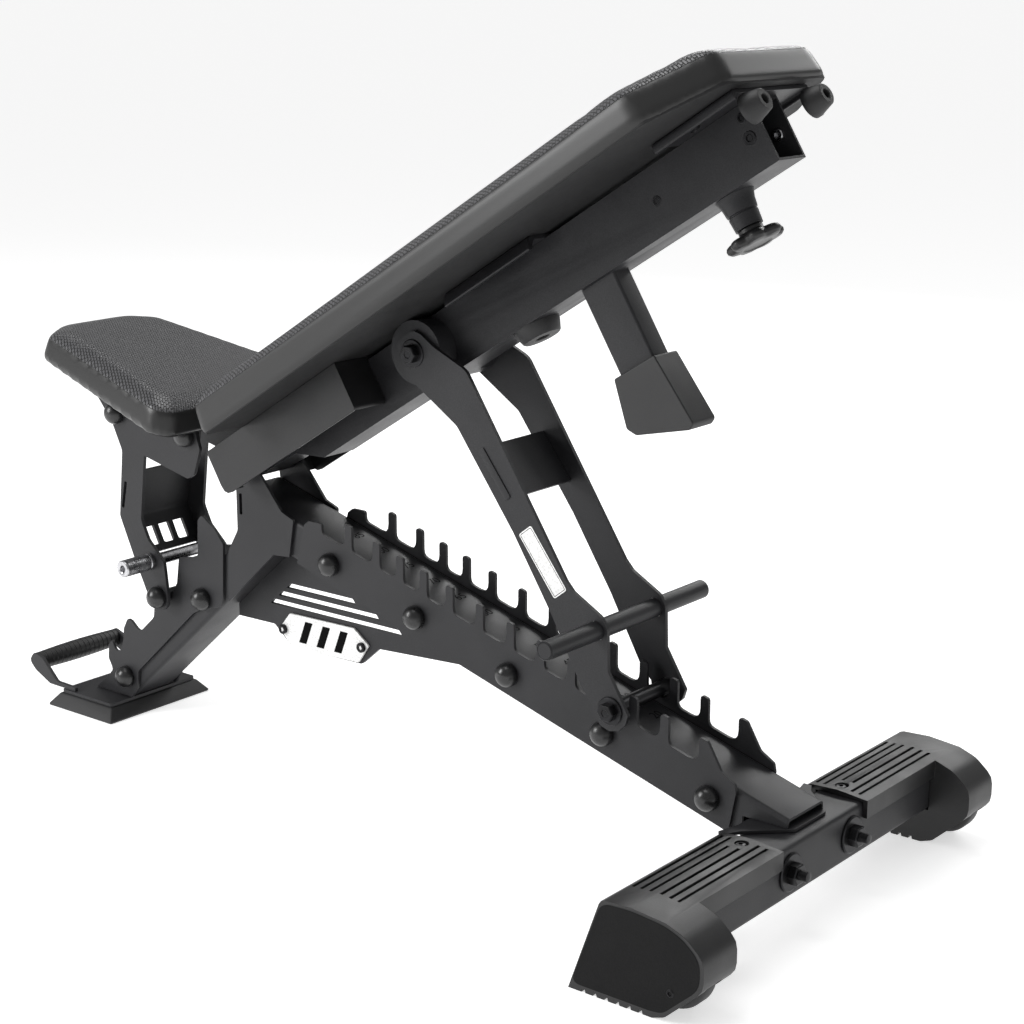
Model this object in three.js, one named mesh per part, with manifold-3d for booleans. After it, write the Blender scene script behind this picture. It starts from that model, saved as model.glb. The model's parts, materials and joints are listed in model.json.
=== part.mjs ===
// Adjustable weight bench, in millimetres. +Z is up, the head end of the backrest points to +X,
// the width runs along Y, and the origin is on the floor under the middle of the bench.
// Side profiles are written as [x, z] points, and plates are extruded along Y from them.
import * as THREE from 'three';
import { mergeVertices } from 'three/addons/utils/BufferGeometryUtils.js';
import Module from 'manifold-3d';

const wasm = await Module();
wasm.setup();

// ---------------------------------------------------------------- driving dimensions
const overallWidth = 610;
const gap = 0.3;                // between parts that touch
const runningGap = 0.6;         // around shafts that turn
const plate = 4;                // steel plate of the ladder, neck and hook plates

const beam = { width: 75, depth: 50, wall: 3, slope: THREE.MathUtils.degToRad(16.3) };
const beamFoot = { x: 190, z: 85 };           // underside of the beam at the ladder's low end
const beamEnd = { low: 262, high: -562, flangeBack: 206, flangeThick: 4 };
const leg = { slope: THREE.MathUtils.degToRad(41.6), x: -691.5, z: 110.4, low: -150, high: 320 };
const foot = { back: -905, front: -774, half: 91, rubber: 18, top: 23, bevel: 12 };

const crossbar = { x: 253, z: 72, side: 60, wall: 3 };
const shoe = { inner: 88, lip: 84, lipFront: 289, endWall: 12, innerWall: 4, block: 16, opening: 44 };
const wheel = { x: 289, z: 48, radius: 39, width: 24, axle: 6, room: 2.5 };
const housingFront = 334.5;

const handle = { x: -949, z: 50, radius: 14, core: 7, arm: 75, armThick: 5 };

const pivot = { x: -549, z: 390, radius: 22, axle: 8 };
const backTube = { width: 52, low: -47, high: 24, wall: 3, end: 874 };
const backPad = { start: 63, end: 901, width: 300, bottom: 29, board: 10, top: 77, chamfer: 78 };
const strutPivot = { s: 352.4, t: -9.1, bolt: 8, boss: 38 };
const strutLength = 469.7;
const strut = { inner: 54, plate: 5, bolt: 8 };
const lockRod = 9;
// Backrest angles that the ladder's slots hold, from the highest slot to the lowest.
const lockAngles = [101, 87.5, 79.5, 73, 66.8, 60.4, 54.4, 48.8, 43.2, 37.5, 31.8, 25.7, 17.3];
const restSlot = 10;
const slot = { floor: 56, right: 13.5, tooth: 11, depth: 30, firstLeft: 26 };

const seat = { x: -703, z: 188, tilt: THREE.MathUtils.degToRad(12.2), inner: 53, plate: 5 };
const seatRod = 8;
const seatPad = { bottom: 264, board: 10, top: 309 };
const boltCap = 14;             // dome caps on the frame bolts
const boltShank = 6;

const degrees = THREE.MathUtils.degToRad;
const restAngle = degrees(lockAngles[restSlot]);

// ---------------------------------------------------------------- finishes
function finish(color, roughness, metalness) {
  return new THREE.MeshStandardMaterial({ color, roughness, metalness });
}
const powderCoat = finish(0x2c2d30, 0.55, 0.4);
const blackPlastic = finish(0x1d1d1f, 0.6, 0.0);
const blackRubber = finish(0x1a1a1b, 0.85, 0.0);
const blackBolt = finish(0x151516, 0.35, 0.7);
const brightSteel = finish(0xb8b8ba, 0.3, 1.0);
const vinyl = finish(0x202022, 0.5, 0.0);
const plywood = finish(0x1c1c1d, 0.8, 0.0);
const blankWhite = finish(0xe4e4e2, 0.5, 0.0);

// ---------------------------------------------------------------- helpers
// A closed outline with its corners rounded: each point is [x, z] or [x, z, corner radius].
function roundedOutline(points) {
  const result = [];
  points.forEach(([x, z, radius = 0], i) => {
    const corner = new THREE.Vector2(x, z);
    const [px, pz] = points[(i + points.length - 1) % points.length];
    const [nx, nz] = points[(i + 1) % points.length];
    const toPrevious = new THREE.Vector2(px, pz).sub(corner);
    const toNext = new THREE.Vector2(nx, nz).sub(corner);
    const turn = Math.PI - Math.acos(toPrevious.dot(toNext) / toPrevious.length() / toNext.length());
    if (radius === 0 || turn < 0.05) {
      result.push(corner);
      return;
    }
    const longest = 0.48 * Math.min(toPrevious.length(), toNext.length());
    const tangent = Math.min(radius * Math.tan(turn / 2), longest);
    const start = corner.clone().addScaledVector(toPrevious.normalize(), tangent);
    const end = corner.clone().addScaledVector(toNext.normalize(), tangent);
    const steps = Math.max(1 + (radius > 3), Math.ceil(turn / degrees(34)));
    const curve = new THREE.QuadraticBezierCurve(start, corner, end);
    result.push(...curve.getPoints(steps));
  });
  return result;
}

function circle(x, z, radius, sides = 12) {
  return Array.from({ length: sides }, (_, i) => {
    const angle = (i / sides) * 2 * Math.PI;
    return new THREE.Vector2(x + radius * Math.cos(angle), z + radius * Math.sin(angle));
  });
}

// A prism along Y: outline and holes are in the (x, z) plane.
function prism(points, low, high, holes = []) {
  const shape = new THREE.Shape(points);
  shape.holes = holes.map((hole) => new THREE.Path(hole));
  const geometry = new THREE.ExtrudeGeometry(shape, { depth: high - low, bevelEnabled: false });
  geometry.rotateX(Math.PI / 2);
  geometry.translate(0, high, 0);
  return geometry;
}

// A prism along X: the section is in the (y, z) plane.
function bar(section, low, high, holes = []) {
  const shape = new THREE.Shape(section);
  shape.holes = holes.map((hole) => new THREE.Path(hole));
  const geometry = new THREE.ExtrudeGeometry(shape, { depth: high - low, bevelEnabled: false });
  const axes = new THREE.Matrix4().makeBasis(
    new THREE.Vector3(0, 1, 0), new THREE.Vector3(0, 0, 1), new THREE.Vector3(1, 0, 0));
  geometry.applyMatrix4(axes);
  geometry.translate(low, 0, 0);
  return geometry;
}

// A prism along Z: the plan is in the (x, y) plane.
function slab(plan, low, high, holes = []) {
  const shape = new THREE.Shape(plan);
  shape.holes = holes.map((hole) => new THREE.Path(hole));
  const geometry = new THREE.ExtrudeGeometry(shape, { depth: high - low, bevelEnabled: false });
  geometry.translate(0, 0, low);
  return geometry;
}

function rectangle(x0, z0, x1, z1, radius = 0) {
  return roundedOutline([[x0, z0, radius], [x1, z0, radius], [x1, z1, radius], [x0, z1, radius]]);
}

// A shape turned about a line along Y through (x, z): profile is [radius, y] with y rising.
function turned(profile, x, z, sides = 12) {
  const points = profile.map(([radius, y]) => new THREE.Vector2(radius, y));
  const geometry = new THREE.LatheGeometry(points, sides);
  geometry.translate(x, 0, z);
  return geometry;
}

// A shape turned about a line along Z through (x, y): profile is [radius, z] with z rising.
function turnedUp(profile, x, y, sides = 16) {
  const points = profile.map(([radius, z]) => new THREE.Vector2(radius, z));
  const geometry = new THREE.LatheGeometry(points, sides);
  geometry.rotateX(Math.PI / 2);
  geometry.translate(x, y, 0);
  return geometry;
}

// A shape turned about a line along X through (y, z): profile is [radius, x] with x rising.
function turnedAlong(profile, y, z, sides = 16) {
  const points = profile.map(([radius, x]) => new THREE.Vector2(radius, x));
  const geometry = new THREE.LatheGeometry(points, sides);
  geometry.rotateZ(-Math.PI / 2);
  geometry.translate(0, y, z);
  return geometry;
}

function toManifold(geometry) {
  const bare = geometry.clone();
  bare.deleteAttribute('normal');
  bare.deleteAttribute('uv');
  const merged = mergeVertices(bare, 1e-4);
  return new wasm.Manifold(new wasm.Mesh({
    numProp: 3,
    vertProperties: Float32Array.from(merged.attributes.position.array),
    triVerts: Uint32Array.from(merged.index.array),
  }));
}

function toGeometry(manifold) {
  const mesh = manifold.getMesh();
  const geometry = new THREE.BufferGeometry();
  geometry.setAttribute('position', new THREE.BufferAttribute(mesh.vertProperties, 3));
  geometry.setIndex(new THREE.BufferAttribute(mesh.triVerts, 1));
  geometry.computeVertexNormals();
  return geometry;
}

function join(first, ...others) {
  return toGeometry(others.reduce((sum, next) => sum.add(toManifold(next)), toManifold(first)));
}

function cut(first, ...others) {
  return toGeometry(others.reduce((rest, next) => rest.subtract(toManifold(next)), toManifold(first)));
}

// The carry handle and the wheels are the ends of the bench; the origin is midway between them.
const originShift = -(handle.x - handle.radius - gap / 2 + housingFront) / 2;

const bench = new THREE.Group();
const base = new THREE.Group();
base.position.x = originShift;
bench.add(base);

function frameAt(parent, x, z, turn) {
  const group = new THREE.Group();
  group.position.set(x, 0, z);
  group.rotation.y = turn;
  parent.add(group);
  return group;
}

function add(group, name, geometry, material) {
  const mesh = new THREE.Mesh(geometry, material);
  mesh.name = name;
  group.add(mesh);
}

const sides = [['near', -1], ['far', 1]];

// Extrudes between two distances from the middle plane, on one side of it.
function sidePrism(points, side, inner, outer, holes = []) {
  return side > 0 ? prism(points, inner, outer, holes) : prism(points, -outer, -inner, holes);
}

// ---------------------------------------------------------------- places that pieces share
const beamTilt = Math.tan(beam.slope);
const beamUnderside = (x) => beamFoot.z + (beamFoot.x - x) * beamTilt;
const plateInner = beam.width / 2 + gap;
const plateOuter = plateInner + plate;

// World place of a point given in a frame that is turned up by angle.
function place(origin, angle, s, t) {
  return {
    x: origin.x + s * Math.cos(angle) - t * Math.sin(angle),
    z: origin.z + s * Math.sin(angle) + t * Math.cos(angle),
  };
}

// Middle of the lock rod when the backrest stands at the given angle: on the line of the slots'
// floors, one strut length from the strut's pivot, on the side towards the head end.
function rodInSlot(angle) {
  const top = place(pivot, angle, strutPivot.s, strutPivot.t);
  const height = (slot.floor + lockRod + gap) / Math.cos(beam.slope);
  const b = -beamTilt;
  const a = beamUnderside(0) + height - top.z;
  const qa = 1 + b * b;
  const qb = 2 * (a * b - top.x);
  const qc = top.x * top.x + a * a - strutLength * strutLength;
  const x = (-qb + Math.sqrt(qb * qb - 4 * qa * qc)) / (2 * qa);
  return { x, z: beamUnderside(x) + height };
}

const rods = lockAngles.map((angle) => rodInSlot(degrees(angle)));
const strutTop = place(pivot, restAngle, strutPivot.s, strutPivot.t);
const restRod = rods[restSlot];
const strutTurn = Math.atan2(strutTop.z - restRod.z, restRod.x - strutTop.x);

const beamFrame = frameAt(base, beamFoot.x, beamFoot.z, beam.slope);
const legFrame = frameAt(base, leg.x, leg.z, -leg.slope);
const backFrame = frameAt(base, pivot.x, pivot.z, -restAngle);
const seatFrame = frameAt(base, seat.x, seat.z, seat.tilt);
const strutFrame = frameAt(base, strutTop.x, strutTop.z, strutTurn);

// ---------------------------------------------------------------- rear crossbar, shoes, wheels
const crossLow = crossbar.z - crossbar.side / 2;
const crossHigh = crossbar.z + crossbar.side / 2;
const crossBack = crossbar.x - crossbar.side / 2;
const crossFront = crossbar.x + crossbar.side / 2;
const flangeBolts = [-64, 64];
// Across the bench from the outside in: shoe end wall, wheel slot, inner wall, crossbar end.
const wheelSlotHigh = overallWidth / 2 - shoe.endWall;
const wheelSlotLow = wheelSlotHigh - wheel.width - 3;
const cavityEnd = wheelSlotLow - shoe.innerWall;
const crossbarHalf = cavityEnd - gap;
{
  const w = crossbar.wall;
  const tube = cut(
    prism(rectangle(crossBack, crossLow, crossFront, crossHigh, 6), -crossbarHalf, crossbarHalf),
    prism(rectangle(crossBack + w, crossLow + w, crossFront - w, crossHigh - w, 4),
      -crossbarHalf - 1, crossbarHalf + 1),
    ...flangeBolts.map((y) => turnedAlong([[0, crossBack - 5], [boltShank + 0.5, crossBack - 5],
      [boltShank + 0.5, crossFront + 5], [0, crossFront + 5]], y, crossbar.z)));
  add(base, 'rear_crossbar', tube, powderCoat);
}

// Hex head and washer on the head-end face, nut and stud end on the other.
flangeBolts.forEach((y, i) => {
  const front = crossFront + gap;
  const back = crossBack - gap;
  add(base, `crossbar_bolt_${sides[i][0]}`, turnedAlong([
    [0, back - 14], [5, back - 14], [5, back - 10], [11, back - 10], [11, back],
    [boltShank, back], [boltShank, front], [21.5, front], [21.5, front + 3], [11, front + 3],
    [11, front + 13], [boltShank, front + 13], [boltShank, front + 24], [0, front + 24],
  ], y, crossbar.z, 12), blackBolt);
});

{
  const half = overallWidth / 2;
  const soleStep = 14;
  const sole = [];
  for (let x = 273; x > 180; x -= soleStep) {
    sole.push([x, 0], [x - 9, 0], [x - 10, 4], [x - 13, 4]);
  }
  const profile = roundedOutline([
    [172, 0], [211, 107, 8], [250, 109], [290, 105], [312, 97, 30], [housingFront, 78, 20],
    [housingFront, 46, 20], [290, 5, 12], [275, 0], ...sole.slice(1, -2),
  ]);
  const blockInner = cavityEnd - shoe.block;
  for (const [name, side] of sides) {
    const at = (inner, outer) => (side > 0 ? [inner, outer] : [-outer, -inner]);
    const whole = sidePrism(profile, side, shoe.inner, half);
    const cavity = sidePrism(rectangle(crossBack - gap, -5, crossFront + gap, crossHigh + gap), side,
      shoe.inner - 1, blockInner);
    const socket = sidePrism(rectangle(crossBack - gap, crossLow - gap, crossFront + gap,
      crossHigh + gap), side, shoe.inner - 1, cavityEnd);
    const underCover = sidePrism(rectangle(150, -5, 400, shoe.lip), side, shoe.inner - 1, blockInner);
    const frontCover = sidePrism(rectangle(shoe.lipFront, -5, 400, 120), side, shoe.inner - 1,
      blockInner);
    const [slotLow, slotHigh] = at(wheelSlotLow, wheelSlotHigh);
    const slotRadius = wheel.radius + wheel.room;
    const wheelSlot = turned([[0, slotLow], [slotRadius, slotLow], [slotRadius, slotHigh],
      [0, slotHigh]], wheel.x, wheel.z, 32);
    const wheelMouth = sidePrism(rectangle(wheel.x, -5, 400, shoe.opening), side, wheelSlotLow,
      wheelSlotHigh);
    const [axleLow, axleHigh] = at(wheelSlotLow - 3, half - 4);
    const axleRadius = wheel.axle + gap / 2;
    const axleHole = turned([[0, axleLow - gap], [axleRadius, axleLow - gap],
      [axleRadius, axleHigh + gap], [0, axleHigh + gap]], wheel.x, wheel.z, 12);
    const grooves = [[217, 8], [227, 8], [238, 30], [251, 30], [262, 8], [272, 8]].map(
      ([x, start]) => sidePrism(rectangle(x, 104.2, x + 3.5, 120), side, shoe.inner + start,
        blockInner + 14));
    const screw = turnedUp([[0, 104.5], [8, 104.5], [8, 120], [0, 120]], 247, side * 104, 12);
    add(base, `${name}_shoe`, cut(whole, cavity, socket, underCover, frontCover, wheelSlot,
      wheelMouth, axleHole, ...grooves, screw), blackPlastic);

    const [wheelLow, wheelHigh] = [slotLow + 1.5, slotHigh - 1.5];
    const bore = wheel.axle + runningGap;
    add(base, `${name}_wheel`, turned([
      [bore, wheelLow + 2], [25, wheelLow + 2], [27, wheelLow], [wheel.radius - 4, wheelLow],
      [wheel.radius, wheelLow + 5], [wheel.radius, wheelHigh - 5], [wheel.radius - 4, wheelHigh],
      [27, wheelHigh], [25, wheelHigh - 2], [bore, wheelHigh - 2], [bore, wheelLow + 2],
    ], wheel.x, wheel.z, 20), blackRubber);
    add(base, `${name}_wheel_axle`, turned([[0, axleLow], [wheel.axle, axleLow],
      [wheel.axle, axleHigh], [0, axleHigh]], wheel.x, wheel.z, 12), brightSteel);
  }
}

// ---------------------------------------------------------------- main beam and its end flange
const beamBolts = [-400, -260, -117, 21, 164];
const capRadiusY = plateOuter + gap;
const flangeTop = crossHigh + gap + beamEnd.flangeThick;

function boltAlongBeam(x) {
  return (x - beamFoot.x - (beam.depth / 2) * Math.sin(beam.slope)) / Math.cos(beam.slope);
}

function rectTube(size, low, high, cuts) {
  const { width, depth, wall } = size;
  return cut(
    bar(rectangle(-width / 2, 0, width / 2, depth, 6), low, high),
    bar(rectangle(-width / 2 + wall, wall, width / 2 - wall, depth - wall, 4), low - 1, high + 1),
    ...cuts);
}

// A block to cut away, drawn in world [x, z] points, for a tube whose frame is turned up by angle.
function trim(origin, angle, points) {
  return prism(points.map(([x, z]) => {
    const dx = x - origin.x;
    const dz = z - origin.z;
    return new THREE.Vector2(dx * Math.cos(angle) + dz * Math.sin(angle),
      dz * Math.cos(angle) - dx * Math.sin(angle));
  }), -60, 60);
}

function crossHole(u, w, radius) {
  return turned([[0, -200], [radius, -200], [radius, 200], [0, 200]], u, w);
}

add(beamFrame, 'main_beam', rectTube(beam, -900, 120, [
  ...beamBolts.map((x) => crossHole(boltAlongBeam(x), beam.depth / 2, boltShank + gap)),
  trim(beamFoot, -beam.slope, [[beamEnd.flangeBack - gap, 0], [400, 0], [400, flangeTop + gap],
    [beamEnd.flangeBack - gap, flangeTop + gap]]),
  trim(beamFoot, -beam.slope, [[beamEnd.low, 0], [400, 0], [400, 200], [beamEnd.low, 200]]),
  trim(beamFoot, -beam.slope, [[-900, 200], [beamEnd.high, 200], [beamEnd.high, 500], [-900, 500]]),
]), powderCoat);

// A through bolt with a dome cap at each end, along Y.
function cappedBolt(x, z, reach, shank = boltShank, cap = boltCap, dome = 16) {
  return turned([
    [0, -reach - dome], [cap * 0.65, -reach - dome * 0.8], [cap, -reach - 3], [cap, -reach],
    [shank, -reach], [shank, reach], [cap, reach], [cap, reach + 3], [cap * 0.65, reach + dome * 0.8],
    [0, reach + dome],
  ], x, z, 12);
}
beamBolts.forEach((x, i) => {
  add(beamFrame, `beam_bolt_${i + 1}`, cappedBolt(boltAlongBeam(x), beam.depth / 2, capRadiusY),
    blackBolt);
});

// The plate that carries the beam's low end on top of the crossbar.
{
  const low = crossHigh + gap;
  const plan = roundedOutline([[212, -98, 4], [226, -73], [269, -32, 6], [269, 32, 6], [226, 73],
    [212, 98, 4], [206, 92, 4], [214, 60, 4], [214, -60, 4], [206, -92, 4]]);
  const shoeTopClear = shoe.inner - gap;
  add(base, 'beam_end_flange', cut(slab(plan, low, low + 4),
    slab(rectangle(180, shoeTopClear, 300, 200), 90, 120),
    slab(rectangle(180, -200, 300, -shoeTopClear), 90, 120)), powderCoat);
}

// ---------------------------------------------------------------- ladder plates with their slots
{
  const top = (x, height) => beamUnderside(x) + height / Math.cos(beam.slope);
  const outline = [[beamFoot.x, beamFoot.z, 3], [199, 132, 3], [197, 142, 3]];
  for (let i = rods.length - 1; i >= 0; i -= 1) {
    const right = rods[i].x + slot.right;
    const left = i === 0 ? rods[0].x - slot.firstLeft : rods[i - 1].x + slot.right + slot.tooth;
    const tipRight = right + slot.tooth;
    if (i === rods.length - 1) outline.push([tipRight + 18, top(tipRight + 18, 62), 6]);
    else outline.push([tipRight, top(tipRight, slot.floor), 9]);
    outline.push([tipRight, top(tipRight, slot.floor + slot.depth), 4]);
    outline.push([right, top(right, slot.floor + slot.depth), 4]);
    outline.push([right, top(right, slot.floor), 14]);
    if (i === 0) outline.push([left, top(left, slot.floor), 9]);
  }
  const blockRight = rods[0].x - slot.firstLeft;
  outline.push([blockRight, 333, 4], [blockRight - 22, 333, 4], [blockRight - 30, 327, 3],
    [blockRight - 44, beamUnderside(blockRight - 44)]);
  const holes = beamBolts.map((x) => circle(x, beamUnderside(x) + beam.depth / 2 / Math.cos(beam.slope),
    boltShank + gap + 0.2));
  for (const [name, side] of sides) {
    add(base, `ladder_plate_${name}`, sidePrism(roundedOutline(outline), side, plateInner, plateOuter,
      holes), powderCoat);
  }
}

// ---------------------------------------------------------------- neck plates, hook plates, leg
{
  const around = Array.from({ length: 10 }, (_, i) => {
    const angle = degrees(215 - i * 24.5);
    return [pivot.x + pivot.radius * Math.cos(angle), pivot.z + pivot.radius * Math.sin(angle)];
  });
  const outline = [[-585, 200], [-582, 270, 6], [-564, 300, 8], [-564, 353], ...around,
    [-484, 337, 8], [-463, 329, 4], [-472, 280], [-500, 278]];
  const hole = circle(pivot.x, pivot.z, pivot.axle + gap);
  const weldSlot = rectangle(-559, 322, -554, 350, 2);
  for (const [name, side] of sides) {
    add(base, `neck_plate_${name}`, sidePrism(roundedOutline(outline), side, plateInner, plateOuter,
      [hole, weldSlot]), powderCoat);
  }
}

const legUnderside = (x) => leg.z + (x - leg.x) * Math.tan(leg.slope);
const legBolts = [99, -114].map((u) => ({ u, w: beam.depth / 2 }));
const hookRod = seatRod + runningGap;
{
  // The seat's rod lies in the highest of three hooks, in a half-round seat of its own size.
  const seatArc = Array.from({ length: 7 }, (_, i) => {
    const angle = degrees(195 + i * 30);
    return [seat.x + hookRod * Math.cos(angle), seat.z + hookRod * Math.sin(angle)];
  });
  const outline = [
    [-859, 24], [-822, 56, 8], [-831, 72, 6], [-829, 92, 5], [-822, 101, 4], [-815, 86, 8],
    [-805, 87, 8], [-798, 104, 6], [-796, 122, 5], [-787, 138, 5], [-779, 136, 4], [-763, 123, 9],
    [-733, 150, 10], [-727, 200, 5], [-718, 202, 4],
    [seatArc[0][0] - 1, seat.z + 8], ...seatArc, [-684, 207, 6], [-678, 244, 6], [-654, 248, 3],
    [-641, 253, 3], [-639, 301, 5], [-632, 309, 5], [-607, 294, 6], [-592, 276, 5],
    [-596, 200], [-600, 190], [-640, 178], [-655, 170, 8], [-770, 65, 5], [-773, 40, 5], [-785, 24],
  ];
  const holes = legBolts.map(({ u, w }) => {
    const at = place(leg, leg.slope, u, w);
    return circle(at.x, at.z, boltShank + gap + 0.2);
  });
  for (const [name, side] of sides) {
    add(base, `hook_plate_${name}`, sidePrism(roundedOutline(outline), side, plateInner, plateOuter,
      holes), powderCoat);
  }
}

// The leg's low end is cut level for the foot, and its high end to the slope of the beam above it.
const underBeam = (x) => beamUnderside(x) - gap / Math.cos(beam.slope);
add(legFrame, 'leg_tube', rectTube(beam, leg.low, leg.high, [
  ...legBolts.map(({ u, w }) => crossHole(u, w, boltShank + gap)),
  trim(leg, leg.slope, [[-1000, -200], [-600, -200], [-600, foot.top + gap], [-1000, foot.top + gap]]),
  trim(leg, leg.slope, [[-700, underBeam(-700)], [-400, underBeam(-400)], [-400, 600], [-700, 600]]),
]), powderCoat);
legBolts.forEach(({ u, w }, i) => {
  add(legFrame, `leg_bolt_${i + 1}`, cappedBolt(u, w, capRadiusY), blackBolt);
});

// ---------------------------------------------------------------- gusset, nameplate
{
  const thick = 5;
  const rightEnd = -160;
  const under = (x) => beamUnderside(x) - gap / Math.cos(beam.slope);
  const legLow = (x) => legUnderside(x) - gap / Math.cos(leg.slope);
  const legTilt = Math.tan(leg.slope);
  const corner = (under(0) - legLow(0)) / (legTilt + beamTilt);
  const slots = [[-517, -398, 226], [-532, -358, 213], [-547, -320, 200]].map(([left, right, z]) => [
    [left, z - 3.5], [right + 3, z - 3.5], [right - 3, z + 3.5], [left + 6, z + 3.5],
  ].map(([x, y]) => new THREE.Vector2(x, y)));
  const screwHoles = [[-520, 167], [-382, 170]].map(([x, z]) => circle(x, z, 3.3, 10));
  const outline = [[-607, 168], [-541, 169, 6], [-510, 143, 8], [-387, 146, 8], [-357, 172, 8],
    [rightEnd, under(rightEnd) - 4, 3], [rightEnd, under(rightEnd)], [corner, under(corner)],
    [-607, legLow(-607)]];
  add(base, 'gusset_plate', prism(roundedOutline(outline), -thick / 2, thick / 2,
    [...slots, ...screwHoles]), powderCoat);

  const plateOutline = roundedOutline([[-529, 167, 3], [-510, 190, 3], [-397, 192, 3], [-372, 174, 3],
    [-390, 148, 3], [-508, 144, 3]]);
  const face = -thick / 2 - gap;
  const screws = [[-520, 167], [-382, 170]].map(([x, z]) => turned([[0, face - 6], [4, face - 6],
    [6, face - 2], [2.8, face - 2], [2.8, thick / 2 + gap], [5.5, thick / 2 + gap],
    [5.5, thick / 2 + 5], [0, thick / 2 + 5]], x, z, 10));
  add(base, 'nameplate', join(prism(plateOutline, face - 3, face), ...screws), blankWhite);
}

// ---------------------------------------------------------------- front foot and carry handle
let footPlate;
{
  const { back, front, half, rubber, top, bevel } = foot;
  const ring = (inset, z) => [[back + inset, -half + inset, z], [front - inset, -half + inset, z],
    [front - inset, half - inset, z], [back + inset, half - inset, z]];
  const layers = [ring(0, 0), ring(0, 3), ring(bevel, rubber)];
  const positions = layers.flat().flat();
  const faces = [];
  for (let layer = 0; layer < 2; layer += 1) {
    for (let i = 0; i < 4; i += 1) {
      const a = layer * 4 + i;
      const b = layer * 4 + ((i + 1) % 4);
      faces.push(a, b, b + 4, a, b + 4, a + 4);
    }
  }
  faces.push(0, 3, 2, 0, 2, 1, 8, 9, 10, 8, 10, 11);
  const rubberFoot = new THREE.BufferGeometry();
  rubberFoot.setAttribute('position', new THREE.Float32BufferAttribute(positions, 3));
  rubberFoot.setIndex(faces);
  rubberFoot.computeVertexNormals();
  add(base, 'rubber_foot', rubberFoot, blackRubber);
  const inset = bevel + 2;
  footPlate = slab(rectangle(back + inset, -half + inset, front - inset, half - inset, 4),
    rubber + gap, top);
}

{
  // A flat arm welded on each side of the foot plate carries a core rod, and the grip's two shells
  // close around the rod.
  const arm = roundedOutline([[-888, foot.top - 2], [-866, foot.top - 2], [-866, foot.top + 6, 3],
    [-905, foot.top + 7, 6], [-934, 58, 9], [-952, 64, 8], [-963, 50, 8], [-950, 38, 8],
    [-920, foot.top + 1, 6], [-888, foot.top + 1, 3]]);
  const arms = sides.map(([, side]) => sidePrism(arm, side, handle.arm - handle.armThick, handle.arm));
  const core = turned([[0, -handle.arm], [handle.core, -handle.arm], [handle.core, handle.arm],
    [0, handle.arm]], handle.x, handle.z);
  add(base, 'foot_plate', join(footPlate, ...arms, core), powderCoat);
  const inner = handle.arm - handle.armThick - gap;
  const shell = (start) => {
    const points = [];
    for (let i = 0; i <= 10; i += 1) {
      const angle = degrees(start + i * 18);
      points.push(new THREE.Vector2(handle.x + handle.radius * Math.cos(angle),
        handle.z + handle.radius * Math.sin(angle)));
    }
    for (let i = 10; i >= 0; i -= 1) {
      const angle = degrees(start + i * 18);
      const r = handle.core + gap;
      points.push(new THREE.Vector2(handle.x + r * Math.cos(angle), handle.z + r * Math.sin(angle)));
    }
    return points;
  };
  const lift = (geometry, dx) => geometry.translate(dx, 0, 0);
  add(base, 'handle_grip_front', lift(prism(shell(-90), -inner, inner), gap / 2), blackPlastic);
  add(base, 'handle_grip_back', lift(prism(shell(90), -inner, inner), -gap / 2), blackPlastic);
}

// ---------------------------------------------------------------- backrest: tube, hinge, shroud
const halfTube = backTube.width / 2;
const stop = { start: 575, end: 626, half: 15, foot: -153 };
const pin = { s: 794, collar: 21, travelGap: 0.5, rod: 5.5 };
{
  const { low, high, wall, end } = backTube;
  const barrelHalf = plateInner - runningGap;
  const profile = roundedOutline([[10, high], [end, high], [end, low], [120, low, 6], [78, -23, 6],
    [6, -20]]);
  const inner = roundedOutline([[24, high - wall], [end + 5, high - wall], [end + 5, low + wall],
    [122, low + wall], [80, -20], [24, -17]]);
  const bore = pivot.axle + runningGap;
  const boltRadius = strutPivot.bolt + gap;
  const pinHole = turnedUp([[0, low - 5], [7, low - 5], [7, low + 10], [0, low + 10]], pin.s, 0, 14);
  const { s, t, boss } = strutPivot;
  const bossOuter = strut.inner - gap;
  const body = toManifold(prism(profile, -halfTube, halfTube))
    .add(toManifold(turned([[0, -bossOuter], [boss, -bossOuter], [boss, bossOuter], [0, bossOuter]],
      s, t, 28)))
    .add(toManifold(slab(rectangle(stop.start, -stop.half, stop.end, stop.half, 3), stop.foot,
      low + 1)))
    .add(toManifold(turned([[0, -barrelHalf], [20, -barrelHalf], [20, barrelHalf], [0, barrelHalf]],
      0, 0, 20)))
    .subtract(toManifold(prism(inner, -halfTube + wall, halfTube - wall)))
    .subtract(toManifold(turned([[0, -99], [bore, -99], [bore, 99], [0, 99]], 0, 0)))
    .subtract(toManifold(turned([[0, -99], [boltRadius, -99], [boltRadius, 99], [0, 99]],
      strutPivot.s, strutPivot.t)))
    .subtract(toManifold(slab(rectangle(stop.start + 3, -stop.half + 3, stop.end - 3, stop.half - 3, 2),
      stop.foot - 5, low + 2)))
    .subtract(toManifold(pinHole));
  add(backFrame, 'backrest_tube', toGeometry(body), powderCoat);
}

const axleEnd = plateOuter + 8;
add(backFrame, 'backrest_axle', turned([[0, -axleEnd], [12, -axleEnd + 2], [12, -plateOuter - gap],
  [pivot.axle, -plateOuter - gap], [pivot.axle, plateOuter + gap], [12, plateOuter + gap],
  [12, axleEnd - 2], [0, axleEnd]], 0, 0), blackBolt);

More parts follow.
